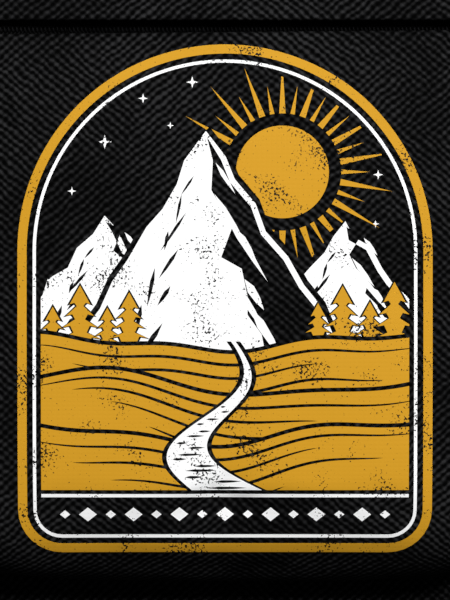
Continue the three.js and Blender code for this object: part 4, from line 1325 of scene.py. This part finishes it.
def make_straps():
    """Both straps, with webbing sewn down along each."""
    for side, label in ((-1, "left"), (1, "right")):
        line, across, out, shares = make_strap(side, f"strap_{label}_padding")
        centre = (line + out * (narrowed(STRAP_DEPTHS, shares) / 2 + 1.0)[:, None])[2:]
        across, out = across[2:], out[2:]
        band = sweep_framed(f"strap_{label}_webbing", centre, across, out, WEBBING_SECTION, WEBBING)
        far = lengths_along(centre)
        rows = []
        for at in [tack + step for tack in BAR_TACKS for step in BAR_TACK_ROWS]:
            spot, way, up = (at_lengths(values, far, at) for values in (centre, across, out))
            way, up = unit(way), unit(up)
            steps = np.linspace(-BAR_TACK_HALF, BAR_TACK_HALF, 9)
            rows.append((np.array([spot + way * step + up * WEBBING_ROW_LIFT for step in steps]),
                         np.tile(up, (9, 1))))
        for offset in (-WEBBING_ROW, WEBBING_ROW):
            rows.append((centre + across * offset + out * WEBBING_ROW_LIFT, out))
        stitches(f"strap_{label}_stitches", rows, length=2.6, gap=0.7)


def make_locks():
    for label in ("left", "right"):
        rounded_copy(f"ladder_lock_{label}", f"ladder_lock_{label}_moulded", ACETAL, "bag", 0.5)


def make_lower_webbing():
    """The webbing from the base up round each lock's bar, and down again to a loose hemmed tail."""
    for side, label in ((-1, "left"), (1, "right")):
        path = strap_curve(side)
        end, down = path[-1], unit(path[-1] - path[-2])
        out = unit(np.cross([1.0, 0, 0], down))
        out = out if out[1] > 0 else -out

        def at(along, outwards):
            return end + down * (0.3 + along) + out * outwards

        turn = 1.2 + LOCK_BAR + WEBBING_THICKNESS / 2
        anchor = np.array([side * ANCHOR[0], ANCHOR[1], ANCHOR[2]])
        halfway = (anchor + at(40, -turn)) / 2 + np.array([0, 3.0, 0])
        points = [anchor, halfway, at(40, -turn), at(28, -turn), at(18, -turn)]
        for angle in math.pi * np.arange(7) / 6:
            points.append(at(10.5 - turn * math.sin(angle), -turn * math.cos(angle)))
        tail = at(40, turn + 1)
        points += [at(18, turn), at(28, turn), tail]
        for i in range(1, 5):
            points.append(tail + np.array([side * 1.5 * i, 2.6 * math.sin(i * 1.1), -i * 22.0]))
        line = resample(spline(points, 10), 1.2)
        band = sweep(f"lower_webbing_{label}_strap", line, (1, 0, 0), WEBBING_SECTION, WEBBING)
        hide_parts(f"lower_webbing_{label}")
        tip = line[-HEM_POINTS:]
        across = np.tile([1.0, 0, 0], (HEM_POINTS, 1))
        hem = sweep_framed(f"lower_webbing_{label}_hem", tip, across,
                           unit(np.cross(across, tip[-1] - tip[0])), HEM_SECTION, WEBBING)


TAB_PLAN, TAB_MIDDLE = [(-20, -14), (24, -8), (26, 4), (22, 14), (0, 12)], (112, 46)
TAB_STEP, TAB_THICKNESS, TAB_ROWS = 3.0, 2.6, (0.86, 0.76)


def make_base_tabs():
    """The sewn tabs that hold the webbing at the foot of the bag's back."""
    rows = []
    for side, label in ((-1, "left"), (1, "right")):
        corners = np.array([(side * (TAB_MIDDLE[0] + x), TAB_MIDDLE[1] + z) for x, z in TAB_PLAN])[::side]
        edge = resample(closed(corners), TAB_STEP)[:-1]
        for _ in range(3):
            edge = (np.roll(edge, 1, 0) + 2 * edge + np.roll(edge, -1, 0)) / 4
        tab = applique(f"base_tab_{label}_patch", edge, body_surface, TAB_THICKNESS)
        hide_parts(f"base_tab_{label}")
        surface = Surface(tab)
        middle = edge.mean(axis=0)
        for share in TAB_ROWS:
            line = facing(closed(middle + (edge - middle) * share), OUT_BACK)
            rows.append(stitch_line(surface, line, INTO_BACK))
    stitches("base_tab_stitches", rows)


# Side pockets

POUCH_FOOT, POUCH_MOUTH = 1.2, 17  # how far a side pocket stands off the bag
POUCH_COLUMNS, POUCH_ROWS, HEM_STEPS = 91, 45, 150
ELASTIC, ELASTIC_BELOW = flat_section(12.6, 4.6, 0.5, 4), 5.6
FOOT_TAPE = flat_section(7.0, 2.0, 0.6)


def side_of_body(y, z):
    lean = 1 - BODY["taper"] * (z - BODY["bottom"]) / (BODY["top"] - BODY["bottom"])
    bulge = BODY_BULGE * np.sin(math.pi * (y - BODY_FRONT) / (BODY_BACK - BODY_FRONT))
    return (BODY["width"] / 2 + bulge) * lean


def pouch(side, u, v, out=0.0):
    """A place on a side pocket. u runs from front to back and v from foot to mouth."""
    y = -SIDE_POCKET_HALF + 2 * SIDE_POCKET_HALF * u
    z = SIDE_POCKET_BOTTOM + (SIDE_POCKET_TOP - SIDE_POCKET_BOTTOM) * v
    middle = np.sin(math.pi * u)
    swell = POUCH_FOOT + (POUCH_MOUTH - POUCH_FOOT) * np.sin(v * math.pi / 2) ** 0.8
    away = swell * np.sin(math.pi * np.clip(u, 0, 1)) ** 0.75
    # Gathers, deepest under the elastic and again at the foot, and then a slow sag
    gathers = 0.9 * np.sin(2 * math.pi * u * 13 + 1.5 * np.sin(u * 9 + side))
    gathers *= middle * (0.25 + 0.75 * np.exp(-((1 - v) / 0.28) ** 2) + 0.4 * np.exp(-(v / 0.12) ** 2))
    sag = middle * np.sin(math.pi * v) * np.sin(5 * v + 3 * u + side)
    x = side_of_body(y, z) + 0.45 + away + gathers + sag + out
    return np.stack([side * x, y, z], -1)


def upright_tape(name, line, section):
    """A tape that stands upright along a line."""
    up = np.tile([0, 0, 1.0], (len(line), 1))
    tape = sweep_framed(name, line, up, unit(np.cross(up, tangents(line))), section, BINDING)
    return tape


def make_side_pockets():
    """Open pockets of one sheet of cloth each, gathered into an elastic hem and a taped foot."""
    for side, label in ((-1, "left"), (1, "right")):
        u, v = np.meshgrid(np.linspace(0, 1, POUCH_COLUMNS), np.linspace(0, 1, POUCH_ROWS))
        outer, inner = pouch(side, u, v, 1.2), pouch(side, u, v)
        across = np.array([lengths_along(row) for row in outer])
        across -= across[:, -1:] / 2
        uv = np.stack([across, outer[..., 2]], -1)
        cloth = lattice(f"side_pocket_{label}_cloth", outer, inner, uv, POLYESTER)
        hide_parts(f"side_pocket_{label}")
        hem_u = np.linspace(0.004, 0.996, HEM_STEPS)
        mouth = pouch(side, hem_u, np.ones(HEM_STEPS), 0.6) - [0, 0, ELASTIC_BELOW]
        hem = upright_tape(f"side_pocket_{label}_elastic", mouth, ELASTIC)
        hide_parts(f"side_pocket_hem_{label}")
        foot = pouch(side, hem_u, np.zeros(HEM_STEPS), 1.0)
        upright_tape(f"side_pocket_{label}_foot_tape", foot, FOOT_TAPE)


# Front pocket's seam

POCKET_RIM_COUNTS = (60, 52, 64, 20, 16)
POCKET_PIPING, POCKET_PIPING_OUT, POCKET_ROW_OUT = round_section(1.7, 10), 1.0, 6.0
POCKET_ROW_FROM = 8  # the row of stitches starts this far above the pocket's foot, where the base begins


def make_pocket_seam():
    """Piping where the front pocket's wall meets the front of the bag, and stitches outside it."""
    loop = outline(POCKET, -POCKET_PIPING_OUT, POCKET_RIM_COUNTS)
    seat, _ = body_surface.lay(facing(loop, OUT_FRONT), INTO_FRONT, 1.0)
    cord = sweep("pocket_seam_piping", seat, (0, 1, 0), POCKET_PIPING, BINDING, loop=True)
    outer = outline(POCKET, -POCKET_ROW_OUT, POCKET_RIM_COUNTS)
    outer = np.roll(outer, -int(np.argmin(outer[:, 1] + np.abs(outer[:, 0]) * 0.001)), 0)
    outer = outer[outer[:, 1] > POCKET["bottom"] + POCKET_ROW_FROM]
    stitches("pocket_stitches", [body_surface.lay(facing(outer, OUT_FRONT), INTO_FRONT, ON_CLOTH)])


make_piping()
rounded_copy("base_panel", "base_board", LINING_WEAVE, "bag", BASE_BEVEL)
make_main_zip()
make_pocket_zip()
make_pulls()
make_haul_loop()
make_back_pad()
make_yoke()
make_straps()
make_locks()
make_lower_webbing()
make_base_tabs()
make_side_pockets()
make_pocket_seam()


# Print

# An arched landscape in white and ochre ink. Its places are millimetres from its middle.
PRINT_MIDDLE = (0.0, 147.0)
ARCH = {"half": 76.0, "spring": 18.0, "bottom": -93.0, "corner": 16.0}
WHITE, OCHRE, BARE = 1, 2, 0
INK_LIFT, INK_THICKNESS = 0.16, 0.12
FILM_STEP = 2.6  # the films are cut this finely, so that they follow the cloth's curve
SAME_POINT = 0.002
FILM_RIM = 50.0  # degrees
HORIZON = -16.0
PLINTH_TOP = -69.5
EDGE = 82  # the hills run this far out, past the arch's sides
BELOW = -100  # and down to here
SUN_X, SUN_Z, SUN_RADIUS, SUN_RAYS = 21.0, 47.0, 17.0, 36
RAY_GAP, RAY_REACH, RAY_SPREAD = 4.5, (15.0, 24.0), (0.04, 0.055)  # short and long rays take turns
BEHIND_PEAK = (165, 258)  # degrees: the rays here would only show as scraps beside the peak
STARS = [(-44, 58, 2.6), (-30, 74, 1.8), (-56, 40, 1.6), (-12, 80, 2.2), (-20, 64, 1.3), (55, 28, 1.4),
         (-47, 73, 1.1), (56, 46, 1.8)]
STAR_WAIST = 0.32
# Each peak's apex, the feet of its left and right slopes, and the seed of its rocks
PEAKS = [((44, 29), 8, 84, 31.0), ((-44, 31), -86, -4, 12.0), ((-7, 62), -58, 46, 5.0)]
RIDGE_LEAN = 0.42  # a peak's ridge comes down this share of the way to its right foot
PINES = [(-63, 20), (-53, 27), (-43, 18), (-35, 23), (34, 19), (43, 26), (53, 21), (62, 29)]
PINE_TIERS = 5
# Each hill's base, its waves as (rise, length, place), its furrows and how they lean
HILLS = [(HORIZON, [(2.6, 128, 60), (1.2, 50, -20)], 4, 0.0),
         (HORIZON - 15, [(4.5, 150, -52), (1.6, 70, 30)], 5, 2.4),
         (HORIZON - 33, [(4.0, 140, 62), (1.5, 60, -30)], 6, -2.0)]
PLINTH_LINE = (-72.2, -71.0)
DIAMONDS_Z, DIAMONDS_APART = -78.6, 8.4
SHEET_HALF, SHEET_LOW, SHEET_HIGH = 95, -110, 110


def curve(x, z, radius, start, end, steps):
    angles = np.radians(np.linspace(start, end, steps + 1))
    return [(x + radius * math.cos(a), z + radius * math.sin(a)) for a in angles]


def arch(inset):
    """The badge's arched outline, drawn in by inset."""
    half, bottom = ARCH["half"] - inset, ARCH["bottom"] + inset
    corner = max(ARCH["corner"] - inset, 4.0)
    low = bottom + corner
    return (curve(0, ARCH["spring"], half, 0, 180, 72) + curve(corner - half, low, corner, 180, 270, 8)
            + curve(half - corner, low, corner, 270, 360, 8))


def jagged(start, end, steps, depth, seed):
    """A line broken like rock between two points."""
    start, end = np.array(start, float), np.array(end, float)
    way = end - start
    across = np.array([way[1], -way[0]]) / np.linalg.norm(way)
    points = [tuple(start)]
    for i in range(1, steps):
        push = depth * noise.noise(Vector((seed, i * 1.7, 0.3))) * 2.2
        slide = 0.45 * noise.noise(Vector((i * 2.3, seed, 4.1))) / steps
        points.append(tuple(start + way * (i / steps + slide) + across * push))
    return points + [tuple(end)]


def leaf(start, end, width):
    """A thin stroke that tapers to both ends."""
    start, end = np.array(start, float), np.array(end, float)
    way = end - start
    across = np.array([way[1], -way[0]]) / max(np.linalg.norm(way), 1e-9) * width / 2
    return [tuple(p) for p in (start, start + way * 0.35 + across, start + way * 0.7 + across * 0.7, end,
                               start + way * 0.65 - across * 0.8, start + way * 0.3 - across)]


def band(centre, widths):
    """A stroke along a line of points, with a width at each."""
    centre = np.asarray(centre, float)
    way = np.gradient(centre, axis=0)
    across = np.column_stack([way[:, 1], -way[:, 0]]) / np.linalg.norm(way, axis=1, keepdims=True)
    half = np.asarray(widths, float)[:, None] / 2
    return [tuple(p) for p in np.vstack([centre + across * half, (centre - across * half)[::-1]])]


def draw_sun(art):
    """A disc with long and short rays in turn."""
    for i in range(SUN_RAYS):
        angle = 2 * math.pi * i / SUN_RAYS
        if BEHIND_PEAK[0] < math.degrees(angle) < BEHIND_PEAK[1]:
            continue
        near, far, spread = SUN_RADIUS + RAY_GAP, SUN_RADIUS + RAY_REACH[i % 2], RAY_SPREAD[i % 2]
        corners = ((near, angle - spread), (far, angle), (near, angle + spread))
        art.append((OCHRE, [[(SUN_X + r * math.cos(a), SUN_Z + r * math.sin(a)) for r, a in corners]]))
    art.append((OCHRE, [curve(SUN_X, SUN_Z, SUN_RADIUS, 0, 360, 60)[:-1]]))


def draw_stars(art):
    """Four-pointed stars."""
    for x, z, size in STARS:
        star = []
        for k in range(8):
            reach = size if k % 2 == 0 else size * STAR_WAIST
            star.append((x + reach * math.cos(math.pi * k / 4), z + reach * math.sin(math.pi * k / 4)))
        art.append((WHITE, [star]))


def draw_mountain(art, apex, left, right, seed):
    """A white peak with its shadow side left bare, as a woodcut has it."""
    foot = HORIZON - 6
    x, z = apex
    west = jagged((left, foot), apex, 9, 1.5, seed)
    east = jagged(apex, (right, foot), 9, 1.5, seed + 1)
    halo = [(px + (-1.4 if px < x else 1.4), pz + 1.6) for px, pz in west + east[1:]]
    art.append((BARE, [halo + [(right + 3, foot - 4), (left - 3, foot - 4)]]))
    art.append((WHITE, [west + east[1:]]))
    spine = jagged((x + 0.4, z - 2.2), (x + (right - x) * RIDGE_LEAN, foot), 10, 4.2, seed + 2)
    rim = [(px - 1.7, pz - 1.2) for px, pz in reversed(east[1:-1])]
    art.append((BARE, [spine + [(right - 6, foot)] + rim]))
    height = z - foot
    slope = np.array([right - x, foot - z]) / math.hypot(right - x, foot - z)
    for k in range(9):
        share = 0.12 + 0.085 * k
        sx, sz = spine[min(len(spine) - 1, int(share * len(spine)))]
        start = np.array([sx + 1.0, sz - 0.8 - k * 0.5])
        end = start + slope * ((0.16 + 0.1 * (k % 3)) * height)
        if end[1] > foot:
            art.append((WHITE, [leaf(start, end, 1.6 + 0.25 * k)]))
    for k in range(10):
        share = 0.16 + 0.08 * k
        start = np.array([x - 1.5 - (x - left) * share * (0.35 + 0.25 * (k % 2)), z - height * share - 3])
        slope = np.array([left - x, foot - z]) / math.hypot(left - x, foot - z)
        slope += np.array([0.35 if k % 2 else -0.05, 0])
        art.append((BARE, [leaf(start, start + slope * height * (0.1 + 0.05 * (k % 3)), 0.9 + 0.12 * k)]))


def pine(x, z, height, grow=0.0):
    """A conifer's outline: tiers of drooping boughs on a short trunk."""
    right = []
    for k in range(PINE_TIERS):
        top = z + height * (1 - k / PINE_TIERS * 0.9)
        low = z + height * (0.9 - (k + 1) / PINE_TIERS * 0.78)
        reach = height * (0.09 + 0.05 * (k + 1)) + grow
        neck = height * 0.028 * (k + 1) * 0.8 + grow * 0.6
        right += [(neck, min(top, z + height) - height * 0.1 * (k > 0)),
                  (reach, low - grow * 0.5), (reach * 0.55, low + height * 0.02 - grow * 0.4)]
    right[0] = (0.0, z + height + grow)
    right += [(height * 0.035 + grow, right[-1][1]), (height * 0.035 + grow, z - 3.0)]
    points = [(x + dx, pz) for dx, pz in right]
    return points + [(x - dx, pz) for dx, pz in reversed(right[1:])]


def draw_hill(art, base, waves, furrows, lean):
    """An ochre hill with a bare outline and bare furrows that follow its crest."""
    xs = np.linspace(-EDGE, EDGE, EDGE + 1)
    zs = base + sum(rise * np.cos((xs - place) / length * 2 * math.pi) for rise, length, place in waves)
    crest = list(zip(xs, zs))
    art.append((BARE, [[(x, z + 1.5) for x, z in crest] + [(EDGE, BELOW - 3), (-EDGE, BELOW - 3)]]))
    art.append((OCHRE, [crest + [(EDGE, BELOW), (-EDGE, BELOW)]]))
    for k in range(furrows):
        drop = 4.0 + 4.6 * k + 0.35 * k * k
        start, end = 6 + 7 * ((k * 5) % 4), 77 - 6 * ((k * 3) % 5)
        part = slice(start, end)
        run = np.linspace(0, 1, end - start)
        centre = np.column_stack([xs[part], zs[part] - drop - lean * (xs[part] / 40) * (k + 1) * 0.4])
        art.append((BARE, [band(centre, 1.15 * np.sin(np.pi * run) ** 0.5 + 0.02)]))


def draw_river(art):
    """A white river that winds to the horizon, with bare banks and ripples."""
    share = np.linspace(0, 1, 60)
    z = HORIZON + 1 + (PLINTH_TOP - 2 - HORIZON) * share ** 0.85
    x = 3 + 17 * np.sin(share ** 0.75 * 6.6) * (0.25 + 0.75 * share) - 6 * share
    width = 1.6 + 25 * share ** 1.7
    for ink, half in ((BARE, width / 2 + 1.7), (WHITE, width / 2)):
        art.append((ink, [list(zip(x - half, z)) + list(zip(x[::-1] + half[::-1], z[::-1]))]))
    for k in range(15):
        i = int(22 + k * 2.5)
        reach = width[i] * (0.16 + 0.07 * (k % 3))
        side = (-1, 1, 0.2)[k % 3] * width[i] * 0.22
        start, end = (x[i] + side - reach, z[i]), (x[i] + side + reach, z[i] + 0.2)
        art.append((BARE, [leaf(start, end, 0.5 + 0.6 * share[i])]))


def block(half, start, end):
    return [(-half, start), (half, start), (half, end), (-half, end)]


def badge():
    """The print's layers, lowest first: an ink and the rings of its outline."""
    art = []
    draw_stars(art)
    draw_sun(art)
    for peak in PEAKS:
        draw_mountain(art, *peak)
    for x, height in PINES:
        ground = HORIZON - 5 + 2.5 * math.cos(x / 30)
        art.append((BARE, [pine(x, ground, height, 1.1)]))
        art.append((OCHRE, [pine(x, ground, height)]))
    for hill in HILLS:
        draw_hill(art, *hill)
    draw_river(art)
    art.append((BARE, [block(90, PLINTH_TOP, SHEET_LOW)]))
    art.append((WHITE, [block(90, PLINTH_LINE[1], PLINTH_LINE[0])]))
    for i in range(-7, 8):
        x, z, half = i * DIAMONDS_APART, DIAMONDS_Z, 2.6 if i % 2 == 0 else 1.5
        art.append((WHITE, [[(x - half * 1.25, z), (x, z - half), (x + half * 1.25, z), (x, z + half)]]))
    art.append((BARE, [block(SHEET_HALF, SHEET_LOW, SHEET_HIGH), arch(8.6)]))
    art.append((WHITE, [arch(5.6), arch(6.8)]))
    art.append((OCHRE, [arch(0.0), arch(3.4)]))
    return art


def inside(points, rings):
    """Which points lie within an odd number of rings."""
    odd = np.zeros(len(points), bool)
    for ring in rings:
        ring = np.asarray(ring, float)
        for a, b in zip(ring, np.roll(ring, -1, 0)):
            if a[1] == b[1]:
                continue
            level = (points[:, 1] >= min(a[1], b[1])) & (points[:, 1] < max(a[1], b[1]))
            odd ^= level & (points[:, 0] < a[0] + (points[:, 1] - a[1]) * (b[0] - a[0]) / (b[1] - a[1]))
    return odd


def cut_art(art):
    """Triangles over the badge, each wholly in one ink or bare. Gives points, triangles and their inks."""
    half, low, high = ARCH["half"] + 1, ARCH["bottom"] - 1, ARCH["spring"] + ARCH["half"] + 1
    points, edges = [], []
    for _, rings in art:
        for ring in rings:
            start = len(points)
            corners = [Vector((min(max(x, -half), half), min(max(z, low), high))) for x, z in ring]
            kept = []
            for a, b in zip(corners, corners[1:] + corners[:1]):
                pieces = max(1, math.ceil((b - a).length / FILM_STEP))
                kept += [a.lerp(b, i / pieces) for i in range(pieces)]
            points += kept
            edges += [(start + i, start + (i + 1) % len(kept)) for i in range(len(kept))]
    for row, z in enumerate(np.arange(low, high, FILM_STEP * 0.87)):
        for x in np.arange(-half, half, FILM_STEP):
            points.append(Vector((x + (row % 2) * FILM_STEP / 2, z)))
    found, _, faces, _, _, _ = delaunay_2d_cdt(points, edges, [], 0, SAME_POINT)
    flat = np.array([tuple(p) for p in found])
    triangles = np.array([f for f in faces if len(f) == 3])
    middles = flat[triangles].mean(axis=1)
    inks = np.zeros(len(triangles), int)
    for ink, rings in art:
        inks[inside(middles, rings)] = ink
    return flat, triangles, inks


def make_print():
    """Lays the inks on the pocket's face as thin films."""
    flat, triangles, inks = cut_art(badge())
    for ink, name, material, slot in ((WHITE, "badge_white_ink", WHITE_INK, "print_white"),
                                      (OCHRE, "badge_ochre_ink", OCHRE_INK, "print_ochre")):
        chosen = triangles[inks == ink]
        used, places = np.unique(chosen, return_inverse=True)
        chosen = places.reshape(chosen.shape)
        plan = flat[used] + PRINT_MIDDLE
        ground, normals = pocket_face.lay(facing(plan, OUT_FRONT), INTO_FRONT)
        top, under = ground + normals * INK_LIFT, ground + normals * (INK_LIFT - INK_THICKNESS)
        count = len(plan)
        sides = {}
        for a, b, c in chosen:
            for pair in ((a, b), (b, c), (c, a)):
                sides[pair] = sides.get(pair, 0) + 1
        rim = [pair for pair in sides if (pair[1], pair[0]) not in sides]
        faces = [tuple(t) for t in chosen] + [tuple(t[::-1] + count) for t in chosen]
        faces += [(b, a, a + count, b + count) for a, b in rim]
        uv = np.vstack([plan[np.array(f) % count] for f in faces])
        film = piece(name, np.vstack([top, under]), faces, uv, material)
        face_outwards(film)
        film.data.set_sharp_from_angle(angle=math.radians(FILM_RIM))


make_print()


# Slump

# A filled bag is never quite true: slow waves of a push, its wavelengths along x, y and z, and its phase
SLUMP_WAVES = [((1.9, 0.5, 0.0), (330, 270, 240), 0.6), ((0.4, 1.5, 0.3), (250, 410, 200), 2.1),
               ((0.2, 0.4, 1.7), (190, 340, 430), 4.0), ((0.9, -0.7, 0.4), (150, 215, 175), 1.2)]
STILL_FLOOR = 60.0  # the slump grows over this height above the floor
STILL_POCKET = (-84.0, 22.0)  # the printed pocket keeps its place in front of this depth
STILL_SLIDERS = ((0.0, -8.0, 425.0), (60.0, 40.0, 30.0))  # and so does the cloth round the main sliders


def slump(points):
    push = np.zeros_like(points)
    for way, lengths, phase in SLUMP_WAVES:
        push += np.array(way) * np.sin(2 * math.pi * (points / lengths).sum(axis=1) + phase)[:, None]
    free = ramp(points[:, 2], 0, STILL_FLOOR) * ramp(points[:, 1], *STILL_POCKET)
    middle, reach = STILL_SLIDERS
    away = np.linalg.norm((points - middle) / reach, axis=1)
    return points + push * (free * ramp(away, 1, 1))[:, None]


for each in sewn:
    move_points(each, slump(points_of(each)))


# Camera, floor and light, in metres

SENSOR_HEIGHT = 36.0  # in millimetres, as Blender takes it
CAMERA_SEES = (0.02, 30.0)
FLOOR_PAINT, STUDIO_AIR, AIR_STRENGTH = "#d9d8d5", "#dfe1e4", 0.06
COVE_FLAT, COVE_ROUND, COVE_TOP, COVE_SIDES, COVE_STEPS = 6.5, 2.5, 4.5, 96, 12
# Each light on the bag: its name, place, what it points at, its width and height, and its watts
BAG_LIGHTS = [
    ("key", (0.8, -3.2, 1.7), (0, 0, 0.2), (1.8, 1.2), 160),
    ("fill_left", (-1.7, 0.5, 0.9), (0, 0, 0.2), (0.9, 1.0), 15),
    ("fill_right", (1.7, 0.5, 0.9), (0, 0, 0.2), (0.9, 1.0), 15),
    ("rim", (0.3, 1.9, 1.2), (0, 0, 0.25), (1.0, 0.8), 22),
    ("side_left", (-1.5, 0.4, 0.7), (0, 0, 0.22), (0.4, 1.2), 36),
    ("side_right", (1.5, 0.4, 0.7), (0, 0, 0.22), (0.4, 1.2), 36),
    ("back", (-0.5, 1.6, 1.0), (0, 0, 0.25), (0.7, 0.7), 26)]
SKY_HEIGHT, SKY_SIDE, SKY_WATTS = 5.6, 6.0, 320
RING_LIGHTS, RING_RADIUS, RING_HEIGHT, RING_SIDE, RING_WATTS = 8, 4.4, 3.4, 1.6, 95
RING_AIM = (1.0, 1.1)  # each ring light points this far outwards and down, at the wall


def add_camera(scene):
    """The photograph's view: square on to the pocket's face, framed as the photograph is."""
    centre_z = GROOVE_Z + GROOVE_PIXEL_Y * MM_PER_PIXEL - FRAME_PIXELS[1] / 2 * MM_PER_PIXEL
    data = bpy.data.cameras.new("camera")
    data.sensor_fit = "VERTICAL"
    data.sensor_height = SENSOR_HEIGHT
    data.lens = SENSOR_HEIGHT * CAMERA_DISTANCE / (FRAME_PIXELS[1] * MM_PER_PIXEL)
    data.clip_start, data.clip_end = CAMERA_SEES
    camera = bpy.data.objects.new("camera", data)
    camera.location = (0, (POCKET_FACE - POCKET_CROWN - CAMERA_DISTANCE) * MM, centre_z * MM)
    camera.rotation_euler = (math.pi / 2, 0, 0)
    scene.collection.objects.link(camera)
    scene.camera = camera


def add_floor(scene):
    """A pale floor, painted matt, that turns up into a round wall."""
    material, tree = new_material("pale_studio_floor")
    finish_surface(tree, {"Base Color": srgb(FLOOR_PAINT), "Roughness": 0.9, "Specular IOR Level": 0.2})
    profile = [(COVE_FLAT, 0.0)]
    for i in range(1, COVE_STEPS + 1):
        turn = math.pi / 2 * i / COVE_STEPS
        profile.append((COVE_FLAT + COVE_ROUND * math.sin(turn), COVE_ROUND * (1 - math.cos(turn))))
    profile.append((COVE_FLAT + COVE_ROUND, COVE_TOP))
    around = [2 * math.pi * i / COVE_SIDES for i in range(COVE_SIDES)]
    points = [(r * math.cos(a), r * math.sin(a), z) for r, z in profile for a in around] + [(0, 0, 0)]
    faces = [((i + 1) % COVE_SIDES, len(points) - 1, i) for i in range(COVE_SIDES)]
    for row in range(len(profile) - 1):
        for i in range(COVE_SIDES):
            a, b = row * COVE_SIDES + i, row * COVE_SIDES + (i + 1) % COVE_SIDES
            faces.append((a, a + COVE_SIDES, b + COVE_SIDES, b))
    mesh = bpy.data.meshes.new("floor")
    mesh.from_pydata(points, [], faces)
    mesh.polygons.foreach_set("use_smooth", [True] * len(mesh.polygons))
    mesh.materials.append(material)
    floor = bpy.data.objects.new("floor", mesh)
    scene.collection.objects.link(floor)
    # The pale floor throws no light up into the shade under the pocket, and no glare on the black straps
    floor.visible_diffuse = floor.visible_glossy = False
    return floor


def add_light(scene, name, place, target, size, watts, lit):
    """A soft rectangular light that falls only on the collection lit."""
    data = bpy.data.lights.new(name, "AREA")
    data.shape = "RECTANGLE"
    data.size, data.size_y = size
    data.energy = watts
    lamp = bpy.data.objects.new(name, data)
    lamp.location = place
    lamp.rotation_euler = (Vector(target) - Vector(place)).to_track_quat("-Z", "Y").to_euler()
    scene.collection.objects.link(lamp)
    lamp.light_linking.receiver_collection = lit


def stage_scene():
    """The camera, and soft studio light: one set of lights for the bag and one for the floor."""
    scene = bpy.context.scene
    add_camera(scene)
    floor = add_floor(scene)
    bag_only = bpy.data.collections.new("lit_without_floor")
    for each in scene.objects:
        if each.type == "MESH" and each != floor:
            bag_only.objects.link(each)
    for light in BAG_LIGHTS:
        add_light(scene, *light, bag_only)
    floor_only = bpy.data.collections.new("lit_floor")
    floor_only.objects.link(floor)
    sky = ("floor_sky", (0, 0, SKY_HEIGHT), (0, 0, 0), (SKY_SIDE, SKY_SIDE), SKY_WATTS)
    add_light(scene, *sky, floor_only)
    for i in range(RING_LIGHTS):
        angle = 2 * math.pi * (i + 0.5) / RING_LIGHTS
        x, y = math.cos(angle), math.sin(angle)
        aim = RING_RADIUS + RING_AIM[0]
        place = (x * RING_RADIUS, y * RING_RADIUS, RING_HEIGHT)
        target = (x * aim, y * aim, RING_HEIGHT - RING_AIM[1])
        add_light(scene, f"floor_{i}", place, target, (RING_SIDE, RING_SIDE), RING_WATTS, floor_only)
    world = bpy.data.worlds.new("studio")
    world.use_nodes = True
    air = world.node_tree.nodes["Background"]
    air.inputs["Color"].default_value = srgb(STUDIO_AIR)
    air.inputs["Strength"].default_value = AIR_STRENGTH
    scene.world = world
    scene.view_settings.view_transform = "Standard"


stage_scene()
